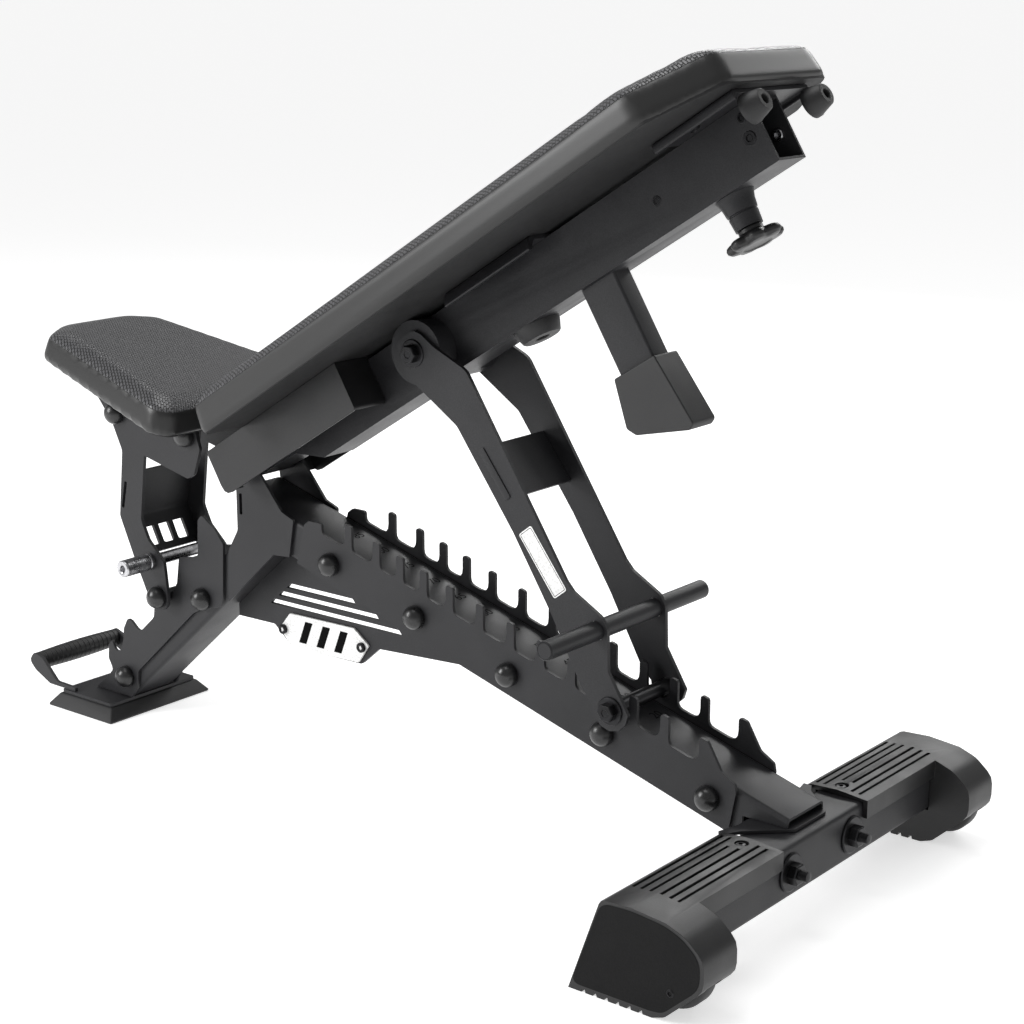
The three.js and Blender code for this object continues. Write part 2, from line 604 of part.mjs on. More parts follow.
const shroud = { start: -11, end: 254, half: 82, low: -33, top: 28.6, wall: 3 };
{
  const { start, end, half, low, top, wall } = shroud;
  const outer = roundedOutline([[start, low, 14], [end, low, 5], [end, top], [start, top, 4]]);
  const inside = roundedOutline([[start + wall, low - 20], [end - wall, low - 20],
    [end - wall, top - wall], [start + wall, top - wall]]);
  const neckOpening = rectangle(start - 10, low - 20, start + 20, top + 20);
  const tubeNotch = rectangle(end - 20, low - 20, end + 20, top - wall);
  add(backFrame, 'hinge_shroud', cut(prism(outer, -half, half), prism(inside, -half + wall, half - wall),
    prism(neckOpening, -axleEnd - gap, axleEnd + gap),
    prism(tubeNotch, -halfTube - gap, halfTube + gap)), blackPlastic);
}

// ---------------------------------------------------------------- backrest: pad and its board
const padHalf = backPad.width / 2;
{
  const { start, end, chamfer, bottom, board, top } = backPad;
  const cornerIn = 54;
  const plan = (inset) => roundedOutline([
    [start + inset, -padHalf + inset, 8], [end - chamfer, -padHalf + inset, 14],
    [end - inset, -padHalf + cornerIn, 14], [end - inset, padHalf - cornerIn, 14],
    [end - chamfer, padHalf - inset, 14], [start + inset, padHalf - inset, 8]]);
  add(backFrame, 'back_pad_board', slab(plan(4), bottom, bottom + board - gap), plywood);
  add(backFrame, 'back_pad', slab(plan(0), bottom + board, top), vinyl);
}

// Brackets that carry the board on the tube, one at the head end and one in the middle.
{
  const under = backPad.bottom - gap;
  const seatOn = backTube.high + gap;
  add(backFrame, 'head_bracket', bar(roundedOutline([[-72, 18, 2], [-68, 18, 2], [-68, seatOn, 4],
    [68, seatOn, 4], [68, 18, 2], [72, 18, 2], [72, under, 4], [-72, under, 4]]), 774, 886), powderCoat);
  add(backFrame, 'mid_bracket', bar(roundedOutline([[-64, 13, 3], [-56, 13, 3], [-48, seatOn, 6],
    [48, seatOn, 6], [56, 13, 3], [64, 13, 3], [54, under, 6], [-54, under, 6]]), 428, 570),
  powderCoat);
  for (const [name, side] of sides) {
    // rubber bumper on the bracket's end, with a recessed screw hole in its face
    add(backFrame, `head_bumper_${name}`, turnedAlong([[0, 887 - 0.2], [17.5, 886.8], [16, 896],
      [11, 909], [5, 909], [5, 900], [0, 900]], side * 59, 5, 16), blackRubber);
  }
}

// ---------------------------------------------------------------- backrest: stop, bumper, pull pin
{
  const low = backTube.low - gap;
  // A moulded rubber shoe, closed below, that is pushed over the end of the stop tube.
  const boot = roundedOutline([[570, -150, 3], [557, -205, 5], [565, -216, 6], [633, -240, 6],
    [641, -236, 5], [632, -150, 3]]);
  const socket = slab(rectangle(stop.start - gap, -stop.half - gap, stop.end + gap, stop.half + gap, 3),
    stop.foot - gap, -100);
  add(backFrame, 'stop_boot', cut(prism(boot, -22, 22), socket), blackRubber);
  add(backFrame, 'mid_bumper', turnedUp([[0, low - 14], [5, low - 14], [5, low - 16], [23, low - 16],
    [28, low - 2], [28, low], [0, low]], 488, 0, 18), blackRubber);
}

{
  const low = backTube.low - gap;
  // Collar welded under the tube; the pin slides in it and a spring pushes it up.
  add(backFrame, 'pin_collar', turnedUp([[pin.rod + pin.travelGap, low - 36], [16, low - 36],
    [16, low - 17], [pin.collar, low - 17], [pin.collar, low], [pin.rod + pin.travelGap, low],
    [pin.rod + pin.travelGap, low - 36]], pin.s, 0, 18), powderCoat);
  // Knob and rod in one piece: the knob has six lobes.
  const lobes = Array.from({ length: 36 }, (_, i) => {
    const angle = (i / 36) * 2 * Math.PI;
    const radius = 31.5 + 2.5 * Math.cos(6 * angle);
    return new THREE.Vector2(pin.s + radius * Math.cos(angle), radius * Math.sin(angle));
  });
  const knob = slab(lobes, low - 56, low - 38);
  const rod = turnedUp([[0, low - 50], [pin.rod, low - 50], [pin.rod, low + 12], [4, low + 14],
    [0, low + 14]], pin.s, 0, 12);
  add(backFrame, 'pull_pin', join(knob, rod), blackPlastic);
}

// ---------------------------------------------------------------- strut and its lock rod
{
  const { s, t, bolt } = strutPivot;
  const out = strut.inner + strut.plate + gap;
  add(backFrame, 'strut_pivot_bolt', turned([[0, -out - 11], [12, -out - 11], [12, -out - 3],
    [18, -out - 3], [18, -out], [bolt, -out], [bolt, out], [18, out], [18, out + 3], [12, out + 3],
    [12, out + 12], [0, out + 12]], s, t, 12), blackBolt);
}
{
  const L = strutLength;
  const outline = roundedOutline([
    [-24, -14, 12], [-22, 20, 18], [10, 31, 18], [57, 56, 20], [321, 35, 20], [336, 36.5, 10],
    [377, 54, 14], [392, 53, 12], [432, 24], ...[50, 20, -10, -40, -70, -100, -130].map((a) => [
      L + 24 * Math.cos(degrees(a)), 24 * Math.sin(degrees(a))]),
    [430, -20], [342, -7, 20], [240, 2, 20], [101, 5, 20], [14, -25, 20],
  ]);
  const bar0 = { u: 386, v: 38, radius: 11 };
  const pivotHole = circle(0, 0, strutPivot.bolt + runningGap);
  const rodHole = circle(L, 0, strut.bolt + gap);
  const barHole = circle(bar0.u, bar0.v, bar0.radius + 2 * gap);
  for (const [name, side] of sides) {
    add(strutFrame, `strut_plate_${name}`, sidePrism(outline, side, strut.inner,
      strut.inner + strut.plate, [pivotHole, rodHole, barHole]), powderCoat);
  }
  const inner = strut.inner - gap;
  add(strutFrame, 'strut_cross_plate', prism(rectangle(139, 18, 207, 23), -inner, inner), powderCoat);
  add(strutFrame, 'strut_handlebar', turned([[0, -152], [bar0.radius - 1.5, -152],
    [bar0.radius, -150], [bar0.radius, 150], [bar0.radius - 1.5, 152], [0, 152]], bar0.u, bar0.v),
  powderCoat);
  const out = strut.inner + strut.plate + gap;
  const end = strut.bolt;
  add(strutFrame, 'lock_rod', turned([[0, -out - 12], [11, -out - 12], [11, -out - 3], [17, -out - 3],
    [17, -out], [end, -out], [end, -inner], [lockRod, -inner + 1], [lockRod, inner - 1], [end, inner],
    [end, out], [17, out], [17, out + 3], [11, out + 3], [11, out + 12], [0, out + 12]], L, 0, 12),
  blackBolt);
}

// ---------------------------------------------------------------- seat frame
const seatBoltsAt = [[-117, 222], [17, 238]];
const seatHandle = { s: -22.6, t: 43.2, radius: 8, grip: 11.5, reach: 107 };
{
  const { inner, plate: thick } = seat;
  const arc = Array.from({ length: 8 }, (_, i) => {
    const angle = degrees(215 + i * 25);
    return [19 * Math.cos(angle), 19 * Math.sin(angle)];
  });
  const outline = roundedOutline([
    [-130, 250, 4], [-131, 214, 10], [-118.6, 200, 6], [-98.8, 175, 14], [-89.8, 84, 10],
    [-54.5, 37, 8], ...arc,
    [2, 52, 10], [-31.5, 71, 10], [-48.8, 93, 12], [-56.3, 183, 2], [29, 182, 8], [39, 191.5, 8],
    [44, 228, 8], [30, 252, 6],
  ]);
  const holes = [circle(0, 0, seatRod + gap), circle(seatHandle.s, seatHandle.t, seatHandle.radius + gap),
    ...seatBoltsAt.map(([s, t]) => circle(s, t, boltShank + gap + 0.2)),
    rectangle(-88, 97, -83, 135, 2)];
  for (const [name, side] of sides) {
    add(seatFrame, `seat_plate_${name}`, sidePrism(outline, side, inner, inner + thick, holes),
      powderCoat);
  }
  const inside = inner - gap;
  // Bent plate across the frame, with three slots in its lower half.
  const bent = roundedOutline([[-81, 150], [-77, 150], [-77, 84, 8], [-44, 42], [-47, 39], [-81, 80, 8]]);
  const slots = [-26, 0, 26].map((y) => slab(rectangle(-75, y - 9, -50, y + 9, 3), 20, 70));
  add(seatFrame, 'seat_cross_plate', cut(prism(bent, -inside, inside), ...slots), powderCoat);

  add(seatFrame, 'seat_rod', cappedBolt(0, 0, inner + thick + gap, seatRod, boltCap), blackBolt);
  const { s, t, radius, grip, reach } = seatHandle;
  const face = inner + thick + gap;
  add(seatFrame, 'seat_handle', turned([[0, -reach + 8], [5, -reach + 8], [5, -reach],
    [grip - 1.5, -reach], [grip, -reach + 2], [grip, -face], [radius, -face], [radius, face],
    [12, face], [12, face + 6], [0, face + 8]], s, t), brightSteel);
  seatBoltsAt.forEach(([bs, bt], i) => {
    add(seatFrame, `seat_bolt_${i + 1}`, cappedBolt(bs, bt, face), blackBolt);
  });

  // Folded channel between the side plates that the seat board is screwed to.
  const under = seatPad.bottom - gap;
  const channel = bar(roundedOutline([[-inside, 212], [-inside + 4, 212], [-inside + 4, under - 4, 3],
    [inside - 4, under - 4, 3], [inside - 4, 212], [inside, 212], [inside, under, 5],
    [-inside, under, 5]]), -185, 34);
  const taper = prism([[-190, 200], [-125, 200], [-185, 246], [-190, 246]].map(
    ([x, y]) => new THREE.Vector2(x, y)), -99, 99);
  add(seatFrame, 'seat_bracket', cut(channel, taper, ...seatBoltsAt.map(([bs, bt]) => turned(
    [[0, -99], [boltShank + gap, -99], [boltShank + gap, 99], [0, 99]], bs, bt))), powderCoat);
}

// ---------------------------------------------------------------- seat pad and its board
{
  const plan = (inset, back) => roundedOutline([
    [-254 + inset, -54, 8], [-230 + inset, -96 + inset, 20], [back - 26, -148 + inset, 24],
    [back - inset, -132, 16], [back - inset, 132, 16], [back - 26, 148 - inset, 24],
    [-230 + inset, 96 - inset, 20], [-254 + inset, 54, 8]]);
  const { bottom, board, top } = seatPad;
  add(seatFrame, 'seat_pad_board', slab(plan(4, 66), bottom, bottom + board - gap), plywood);
  const slanted = prism([[30, top + 1], [72, bottom - 20], [140, bottom - 20], [140, top + 1]].map(
    ([x, y]) => new THREE.Vector2(x, y)), -200, 200);
  add(seatFrame, 'seat_pad', cut(slab(plan(0, 69), bottom + board, top), slanted), vinyl);
}

export default bench;
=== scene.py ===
import json
import math

import bpy
import bmesh
import numpy as np
from mathutils import Matrix, Vector


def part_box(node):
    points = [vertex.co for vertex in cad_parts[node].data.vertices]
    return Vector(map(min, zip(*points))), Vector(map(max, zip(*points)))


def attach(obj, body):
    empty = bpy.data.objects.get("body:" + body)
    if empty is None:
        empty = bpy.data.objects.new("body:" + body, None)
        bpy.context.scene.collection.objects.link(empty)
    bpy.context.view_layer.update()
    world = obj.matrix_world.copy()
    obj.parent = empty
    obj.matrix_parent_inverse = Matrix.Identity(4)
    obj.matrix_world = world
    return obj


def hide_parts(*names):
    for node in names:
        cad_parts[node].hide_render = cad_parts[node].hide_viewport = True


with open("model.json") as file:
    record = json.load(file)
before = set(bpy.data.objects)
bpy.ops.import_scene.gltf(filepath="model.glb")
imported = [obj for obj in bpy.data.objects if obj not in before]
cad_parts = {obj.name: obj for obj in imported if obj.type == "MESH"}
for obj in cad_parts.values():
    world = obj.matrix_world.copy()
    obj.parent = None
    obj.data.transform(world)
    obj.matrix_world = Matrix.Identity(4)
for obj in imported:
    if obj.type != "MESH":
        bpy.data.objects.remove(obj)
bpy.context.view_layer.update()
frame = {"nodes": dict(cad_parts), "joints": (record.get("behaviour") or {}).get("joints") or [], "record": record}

# --- Camera -------------------------------------------------------------------------------------
# A product shot from the head end's side, a little above the bench, with a portrait lens.
camera_data = bpy.data.cameras.new("camera")
camera_data.lens = 73.09
camera_data.sensor_width = 36.0
camera = bpy.data.objects.new("camera", camera_data)
camera.location = (1.64125, -1.83365, 0.98871)
camera.rotation_euler = (math.radians(90 - 14.44), 0, math.radians(38.76))
bpy.context.scene.collection.objects.link(camera)
bpy.context.scene.camera = camera

# --- Studio -------------------------------------------------------------------------------------
# A pale seamless floor and large softboxes: one high and wide, one low at the left for the pads'
# sides, and a narrow one behind that draws bright lines along the steel edges.


def linear(hex_color):
    """An sRGB hex colour as linear red, green and blue: c/12.92, or ((c + 0.055)/1.055)^2.4."""
    channels = [int(hex_color[i:i + 2], 16) / 255 for i in (1, 3, 5)]
    return [c / 12.92 if c <= 0.04045 else ((c + 0.055) / 1.055) ** 2.4 for c in channels] + [1.0]


def new_material(name, **surface):
    """A material with one Principled surface whose constant sockets are set directly."""
    made = bpy.data.materials.new(name)
    made.use_nodes = True
    shader = made.node_tree.nodes["Principled BSDF"]
    for key, value in surface.items():
        shader.inputs[key.replace("_", " ")].default_value = value
    return made, made.node_tree, shader


floor_paint, _, floor_shader = new_material(
    "seamless paper", Base_Color=linear("#f4f4f4"), Roughness=0.9)
floor_shader.inputs["Emission Color"].default_value = (1, 1, 1, 1)
floor_shader.inputs["Emission Strength"].default_value = 0.56
floor_mesh = bpy.data.meshes.new("floor")
# so wide that its edge lies close to the horizon
FLOOR_HALF = 300.0
floor_mesh.from_pydata([(-FLOOR_HALF, -FLOOR_HALF, 0), (FLOOR_HALF, -FLOOR_HALF, 0),
                        (FLOOR_HALF, FLOOR_HALF, 0), (-FLOOR_HALF, FLOOR_HALF, 0)], [], [(0, 1, 2, 3)])
floor_mesh.materials.append(floor_paint)
floor = bpy.data.objects.new("floor", floor_mesh)
bpy.context.scene.collection.objects.link(floor)

world = bpy.data.worlds.new("studio")
world.use_nodes = True
world.node_tree.nodes["Background"].inputs["Color"].default_value = (1, 1, 1, 1)
world.node_tree.nodes["Background"].inputs["Strength"].default_value = 0.4
bpy.context.scene.world = world
bpy.context.scene.view_settings.view_transform = "Standard"


def softbox(name, place, aim, size, power):
    """A rectangular area light at place, facing aim."""
    data = bpy.data.lights.new(name, "AREA")
    data.shape = "RECTANGLE"
    data.size, data.size_y = size
    data.energy = power
    light = bpy.data.objects.new(name, data)
    light.location = place
    light.rotation_euler = (Vector(aim) - Vector(place)).to_track_quat("-Z", "Y").to_euler()
    bpy.context.scene.collection.objects.link(light)


softbox("softbox above", (-0.4, -0.3, 3.2), (0, 0, 0.4), (2.4, 1.4), 38)
softbox("softbox left", (-2.2, -2.6, 1.7), (0, 0, 0.5), (1.2, 1.6), 75)
softbox("strip behind", (-0.5, 3.2, 2.2), (0, 0, 0.5), (3.0, 0.6), 45)

# --- Lines that the pieces are set out from ---------------------------------------------------------
# The hinge lines and tilts come from the record's joints. Each turned frame has s along the piece,
# y across the bench and t away from it.
JOINTS = {j["name"]: j for j in frame["joints"]}
PIVOT = Vector(JOINTS["backrest_hinge"]["pos_m"])
STRUT_TOP = Vector(JOINTS["strut_hinge"]["pos_m"])
SEAT_ROD = Vector(JOINTS["seat_hinge"]["pos_m"])
pin_axis = JOINTS["pull_pin_slide"]["axis"]
BACK_ANGLE = math.atan2(pin_axis[0], -pin_axis[2])
SEAT_ANGLE = -math.radians(JOINTS["seat_hinge"]["range_deg"][1])


def turned_frame(origin, angle):
    """Matrix from local (s, y, t) in metres to the row frame, raised by angle about the Y line."""
    return Matrix.Translation(origin) @ Matrix.Rotation(-angle, 4, "Y")


def centre(node):
    """Middle of a CAD node's box."""
    low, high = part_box(node)
    return (low + high) / 2


BACK = turned_frame(PIVOT, BACK_ANGLE)
SEAT = turned_frame(SEAT_ROD, SEAT_ANGLE)
ROD = centre("lock_rod")
STRUT_ANGLE = math.atan2(ROD.z - STRUT_TOP.z, ROD.x - STRUT_TOP.x)
STRUT = turned_frame(STRUT_TOP, STRUT_ANGLE)
BODY_OF = {node: body for body, nodes in frame["record"]["behaviour"]["bodies"].items() for node in nodes}

# --- Powder-coated steel ----------------------------------------------------------------------------
# Laser-cut plate and welded tube, sprayed with a fine-texture matt black powder. Tiny lumps in the
# cured powder scatter the light, so flat faces look soft grey and only the edges catch a line.
MM = 0.001


def add_node(tree, kind, settings=None, **links):
    """Adds a node with its settings. Each link names an input, with _ for a space or i0, i1 for its place
    in the list, and gives it a value or a socket."""
    made = tree.nodes.new(kind)
    for key, value in (settings or {}).items():
        setattr(made, key, value)
    for key, value in links.items():
        socket = made.inputs[int(key[1:]) if key[0] == "i" and key[1:].isdigit() else key.replace("_", " ")]
        if isinstance(value, bpy.types.NodeSocket):
            tree.links.new(value, socket)
        else:
            socket.default_value = value
    return made


def grained(name, base, dark, grain_mm, depth, rough, mottle_mm=60, **surface):
    """A material with fine lumps, a slow change of shade and a matching change of gloss."""
    made, tree, shader = new_material(name, **surface)
    place = add_node(tree, "ShaderNodeTexCoord").outputs["Object"]
    fine = add_node(tree, "ShaderNodeTexNoise", Vector=place, Scale=1000 / grain_mm, Detail=3.0)
    slow = add_node(tree, "ShaderNodeTexNoise", Vector=place, Scale=1000 / mottle_mm, Detail=4.0)
    shade = add_node(tree, "ShaderNodeValToRGB", Fac=slow.outputs["Fac"])
    shade.color_ramp.elements[0].position = 0.3
    shade.color_ramp.elements[0].color = linear(dark)
    shade.color_ramp.elements[1].position = 0.7
    shade.color_ramp.elements[1].color = linear(base)
    speck = add_node(tree, "ShaderNodeMapRange", Value=fine.outputs["Fac"], From_Min=0.35, From_Max=0.65,
                     To_Min=0.82, To_Max=1.15)
    tint = add_node(tree, "ShaderNodeMixRGB", {"blend_type": "MULTIPLY"}, Fac=1.0,
                    Color1=shade.outputs["Color"], Color2=speck.outputs["Result"])
    tree.links.new(tint.outputs["Color"], shader.inputs["Base Color"])
    gloss = add_node(tree, "ShaderNodeMapRange", Value=slow.outputs["Fac"], From_Min=0.3, From_Max=0.7,
                     To_Min=rough - 0.05, To_Max=rough + 0.06)
    tree.links.new(gloss.outputs["Result"], shader.inputs["Roughness"])
    bump = add_node(tree, "ShaderNodeBump", Height=fine.outputs["Fac"], Distance=depth * MM, Strength=1.0)
    tree.links.new(bump.outputs["Normal"], shader.inputs["Normal"])
    return made


# real lumps are about 0.4 mm across; drawn at 1.1 mm so that they show
powder = grained("fine-texture black powder coat", "#2b2b2d", "#212123", 1.1, 0.12, 0.45, IOR=1.45,
                 Specular_IOR_Level=0.35)


def soften(piece, width):
    """A small rounded edge, as deburring, moulding or thick paint leaves."""
    bevel = piece.modifiers.new("edge", "BEVEL")
    bevel.width = width
    bevel.segments = 2
    bevel.limit_method = "ANGLE"
    bevel.angle_limit = math.radians(40)
    bevel.use_clamp_overlap = True
    bevel.harden_normals = True
    return piece


def finished(node, material, body, width):
    """The CAD piece as it leaves the shop: its loose triangles merged, its edges softened by the paint."""
    source = frame["nodes"][node].data
    work = bmesh.new()
    work.from_mesh(source)
    bmesh.ops.remove_doubles(work, verts=work.verts, dist=2e-5)
    bmesh.ops.dissolve_limit(work, angle_limit=math.radians(0.5), verts=work.verts, edges=work.edges)
    mesh = bpy.data.meshes.new(node + "_finished")
    work.to_mesh(mesh)
    work.free()
    mesh.materials.clear()
    mesh.materials.append(material)
    mesh.shade_smooth()
    mesh.set_sharp_from_angle(angle=math.radians(40))
    piece = bpy.data.objects.new(node + "_finished", mesh)
    bpy.context.scene.collection.objects.link(piece)
    soften(piece, width * MM)
    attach(piece, body)
    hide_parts(node)
    return piece


steel_plates = ["ladder_plate_near", "ladder_plate_far", "neck_plate_near", "neck_plate_far",
                "hook_plate_near", "hook_plate_far", "gusset_plate", "beam_end_flange",
                "strut_plate_near", "strut_plate_far", "strut_cross_plate", "seat_plate_near",
                "seat_plate_far", "seat_cross_plate", "head_bracket", "mid_bracket", "seat_bracket"]
for node in steel_plates:
    finished(node, powder, BODY_OF[node], 0.6)
for node in ["main_beam", "leg_tube", "rear_crossbar", "backrest_tube", "foot_plate"]:
    finished(node, powder, BODY_OF[node], 0.5)

# --- Pad boards ---------------------------------------------------------------------------------
# Plywood, stained black, that the foam is glued to and the vinyl stapled over. Each is screwed
# to its steel bracket from below.

# stain leaves the grain dull and a little patchy
ply = grained("black-stained plywood", "#1d1d1e", "#141415", 2.0, 0.1, 0.7, 25, IOR=1.45)
for node in ["back_pad_board", "seat_pad_board"]:
    finished(node, ply, BODY_OF[node], 1.0)

# --- Upholstery -----------------------------------------------------------------------------------
# Firm foam under one skin of black vinyl. The sides are smooth; the top is embossed with a slanting
# basket weave, and its rim slopes down to the sides.
vinyl, tree, shader = new_material("embossed upholstery vinyl", IOR=1.5)
place = add_node(tree, "ShaderNodeAttribute", {"attribute_name": "pad_place"}).outputs["Vector"]
# one cell of the embossed weave is about 5 mm along, and the pores between are about 1 mm apart
WEAVE_MM = 5.2
spin = add_node(tree, "ShaderNodeMapping", Vector=place, Rotation=(0, 0, math.radians(32)),
                Scale=(1 / WEAVE_MM, 1 / WEAVE_MM, 0.0))
weave = add_node(tree, "ShaderNodeTexBrick", {"offset": 0.5, "squash": 1.0}, Vector=spin.outputs["Vector"],
                 Scale=1.0, Mortar_Size=0.12, Mortar_Smooth=0.9, Brick_Width=1.25, Row_Height=0.62)
parts = add_node(tree, "ShaderNodeSeparateXYZ", Vector=place)
on_top = add_node(tree, "ShaderNodeMapRange", Value=parts.outputs["Z"], From_Min=-0.4, From_Max=0.6,
                  To_Min=0.0, To_Max=1.0)
raised = add_node(tree, "ShaderNodeMath", {"operation": "SUBTRACT"}, i0=1.0, i1=weave.outputs["Fac"])
weave_relief_and_glint = add_node(tree, "ShaderNodeMath", {"operation": "MULTIPLY"}, i0=raised.outputs["Value"],
                  i1=on_top.outputs["Result"])
leather = add_node(tree, "ShaderNodeTexVoronoi", Scale=0.9, Vector=place)
pores = add_node(tree, "ShaderNodeBump", Height=leather.outputs["Distance"], Distance=0.03 * MM,
                 Strength=0.6)
relief = add_node(tree, "ShaderNodeBump", Height=weave_relief_and_glint.outputs["Value"], Distance=2.4 * MM, Strength=1.0,
                  Normal=pores.outputs["Normal"])
tree.links.new(relief.outputs["Normal"], shader.inputs["Normal"])
# painted sheen: the smooth sides of the one black vinyl skin are coloured lighter than the top, standing in for
# the softbox light they reflect
painted_side_sheen = add_node(tree, "ShaderNodeMixRGB", Fac=on_top.outputs["Result"], Color1=linear("#191919"),
                       Color2=linear("#020202"))
# painted highlight: the raised weave cells on top are coloured light grey as painted glints; the same mask also
# raises the weave's relief and sets its gloss
colour_with_painted_glints = add_node(tree, "ShaderNodeMixRGB", Fac=weave_relief_and_glint.outputs["Value"],
                      Color1=painted_side_sheen.outputs["Color"], Color2=linear("#505052"))
tree.links.new(colour_with_painted_glints.outputs["Color"], shader.inputs["Base Color"])
gloss = add_node(tree, "ShaderNodeMapRange", Value=weave_relief_and_glint.outputs["Value"], From_Min=0.0, From_Max=1.0,
                 To_Min=0.38, To_Max=0.33)
tree.links.new(gloss.outputs["Result"], shader.inputs["Roughness"])


def rounded_plan(corners, radius, per_corner=8):
    """Closed outline through corners, each rounded with a quadratic curve of the given size."""
    out = []
    corners = np.asarray(corners, float)
    for i, here in enumerate(corners):
        before, after = corners[i - 1] - here, corners[(i + 1) % len(corners)] - here
        reach = min(radius, 0.45 * np.linalg.norm(before), 0.45 * np.linalg.norm(after))
        a, b = here + before / np.linalg.norm(before) * reach, here + after / np.linalg.norm(after) * reach
        t = np.linspace(0, 1, per_corner)[:, None]
        out.append((1 - t) ** 2 * a + 2 * t * (1 - t) * here + t ** 2 * b)
    return np.concatenate(out)


def place_piece(name, vertices, faces, material, body, slot, stands_for=(), smooth=40, bevel=0.0):
    """Makes a piece from vertices in the row frame and puts it on its body."""
    mesh = bpy.data.meshes.new(name)
    mesh.from_pydata([tuple(v) for v in vertices], [], [tuple(f) for f in faces])
    mesh.materials.append(material)
    work = bmesh.new()
    work.from_mesh(mesh)
    bmesh.ops.remove_doubles(work, verts=work.verts, dist=1e-6)
    bmesh.ops.recalc_face_normals(work, faces=work.faces)
    work.to_mesh(mesh)
    work.free()
    piece = bpy.data.objects.new(name, mesh)
    bpy.context.scene.collection.objects.link(piece)
    mesh.shade_smooth()
    mesh.set_sharp_from_angle(angle=math.radians(smooth))
    if bevel:
        soften(piece, bevel)
    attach(piece, body)
    if stands_for:
        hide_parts(*stands_for)
    return piece


def ring_quads(rings, around):
    """Quads between neighbouring rings of a grid whose columns close on themselves."""
    row = np.arange(rings - 1)[:, None] * around
    column = np.arange(around)[None, :]
    following = (column + 1) % around
    quads = [row + column, row + following, row + around + following, row + around + column]
    return np.stack(quads, -1).reshape(-1, 4)


def carried(points, matrix):
    """Points turned by the matrix's upper 3 x 3 and moved by its last column."""
    turn = np.array(matrix)
    return points @ turn[:3, :3].T + turn[:3, 3]


def coordinates(mesh):
    """Places of all of a mesh's vertices, one row each."""
    flat = np.empty(len(mesh.vertices) * 3)
    mesh.vertices.foreach_get("co", flat)
    return flat.reshape(-1, 3)


def upholstered(name, plan, levels, matrix, node, body, rim, crown):
    """A pad: plan is a convex outline in mm; levels are (inset, height) in mm from the bottom edge to the
    flat of the top, and each ring is the plan drawn in towards its middle by the inset. The form is
    remeshed, blown up a little by a cloth simulation, and its swelling capped."""
    middle = plan.mean(0)
    away = plan - middle
    length = np.linalg.norm(away, axis=1, keepdims=True)
    rings = [np.column_stack([middle + away * (length - inset) / length, np.full(len(plan), t)])
             for inset, t in levels]
    rings = [np.column_stack([np.tile(middle, (len(plan), 1)), np.full(len(plan), levels[0][1])])] + rings
    rings.append(np.column_stack([np.tile(middle, (len(plan), 1)), np.full(len(plan), levels[-1][1])]))
    points = np.concatenate(rings) * MM
    faces = ring_quads(len(rings), len(plan))
    pad = place_piece(name, points, faces, vinyl, body, "vinyl", [node], smooth=60)
    remesh = pad.modifiers.new("remesh", "REMESH")
    remesh.mode = "VOXEL"
    remesh.voxel_size = 5 * MM
    bpy.context.view_layer.objects.active = pad
    bpy.ops.object.select_all(action="DESELECT")
    pad.select_set(True)
    bpy.ops.object.modifier_apply(modifier="remesh")
    start = coordinates(pad.data)
    cloth = pad.modifiers.new("foam", "CLOTH")
    cloth.settings.use_pressure = True
    cloth.settings.uniform_pressure_force = 1.2
    cloth.settings.effector_weights.gravity = 0.0
    cloth.settings.quality = 4
    for step in range(1, 16):
        bpy.context.scene.frame_set(step)
    bpy.ops.object.modifier_apply(modifier="foam")
    bpy.context.scene.frame_set(1)
    moved = coordinates(pad.data) - start
    size = np.linalg.norm(moved, axis=1, keepdims=True)
    most = 1.6 * MM
    moved *= np.minimum(1, most / np.maximum(size, 1e-9))
    # the skin is stapled round the board, so it stays put below the rim
    held = np.clip((start[:, 2:] - (rim - 6) * MM) / (8 * MM), 0, 1)
    start = start + moved * held
    # the middle of the top stands a little proud
    local = start[:, :2] / MM - middle
    half = np.abs(plan - middle).max(0)
    bulge = np.clip(1 - (np.abs(local) / half) ** 4, 0, 1).prod(1)
    start[:, 2] += crown * MM * bulge * (start[:, 2] > (rim + 2) * MM)
    place_mm = start / MM
    place_mm[:, 2] -= rim
    mark = pad.data.attributes.new("pad_place", "FLOAT_VECTOR", "POINT")
    mark.data.foreach_set("vector", place_mm.astype(np.float32).ravel())
    fine = pad.modifiers.new("fine", "SUBSURF")
    fine.levels = fine.render_levels = 1
    pad.data.shade_smooth()
    pad.data.vertices.foreach_set("co", carried(start, matrix).ravel())
    pad.data.update()
    return pad


# the back pad runs from 63 mm to 901 mm above the hinge line; its head-end corners are cut off
back_low, back_high = 63, 901
back_plan = rounded_plan([(back_low, -150), (back_high - 78, -150), (back_high, -96), (back_high, 96),
                          (back_high - 78, 150), (back_low, 150)], 14)
upholstered("back_pad_skin", back_plan,
            [(9, 29.5), (3, 30), (0.5, 33), (0.5, 37), (4, 62), (5.5, 65), (9, 67.5), (26, 75), (30, 75.8)],
            BACK, "back_pad", "backrest", 64.5, 2.0)
seat_plan = rounded_plan([(-255, -54), (-230, -97), (44, -149), (66, -134), (66, 134), (44, 149),
                          (-230, 97), (-255, 54)], 14)
upholstered("seat_pad_skin", seat_plan,
            [(9, 264.5), (3, 265), (0.5, 268), (0.5, 271), (5, 294), (7, 297), (10, 299.5), (30, 307),
             (34, 308)],
            SEAT, "seat_pad", "seat", 296.5, 2.0)

# --- Frame bolts ------------------------------------------------------------------------------------
# Through bolts that clamp the plates to the tubes. A round black plastic cap is pushed over each
# head and nut, on a thin washer.

# moulded in a smooth tool, so each dome holds one soft highlight
cap_plastic = grained("satin black nylon", "#1c1c1d", "#161617", 1.6, 0.03, 0.3, 20, IOR=1.53)
UPRIGHT = Matrix.Identity(4)


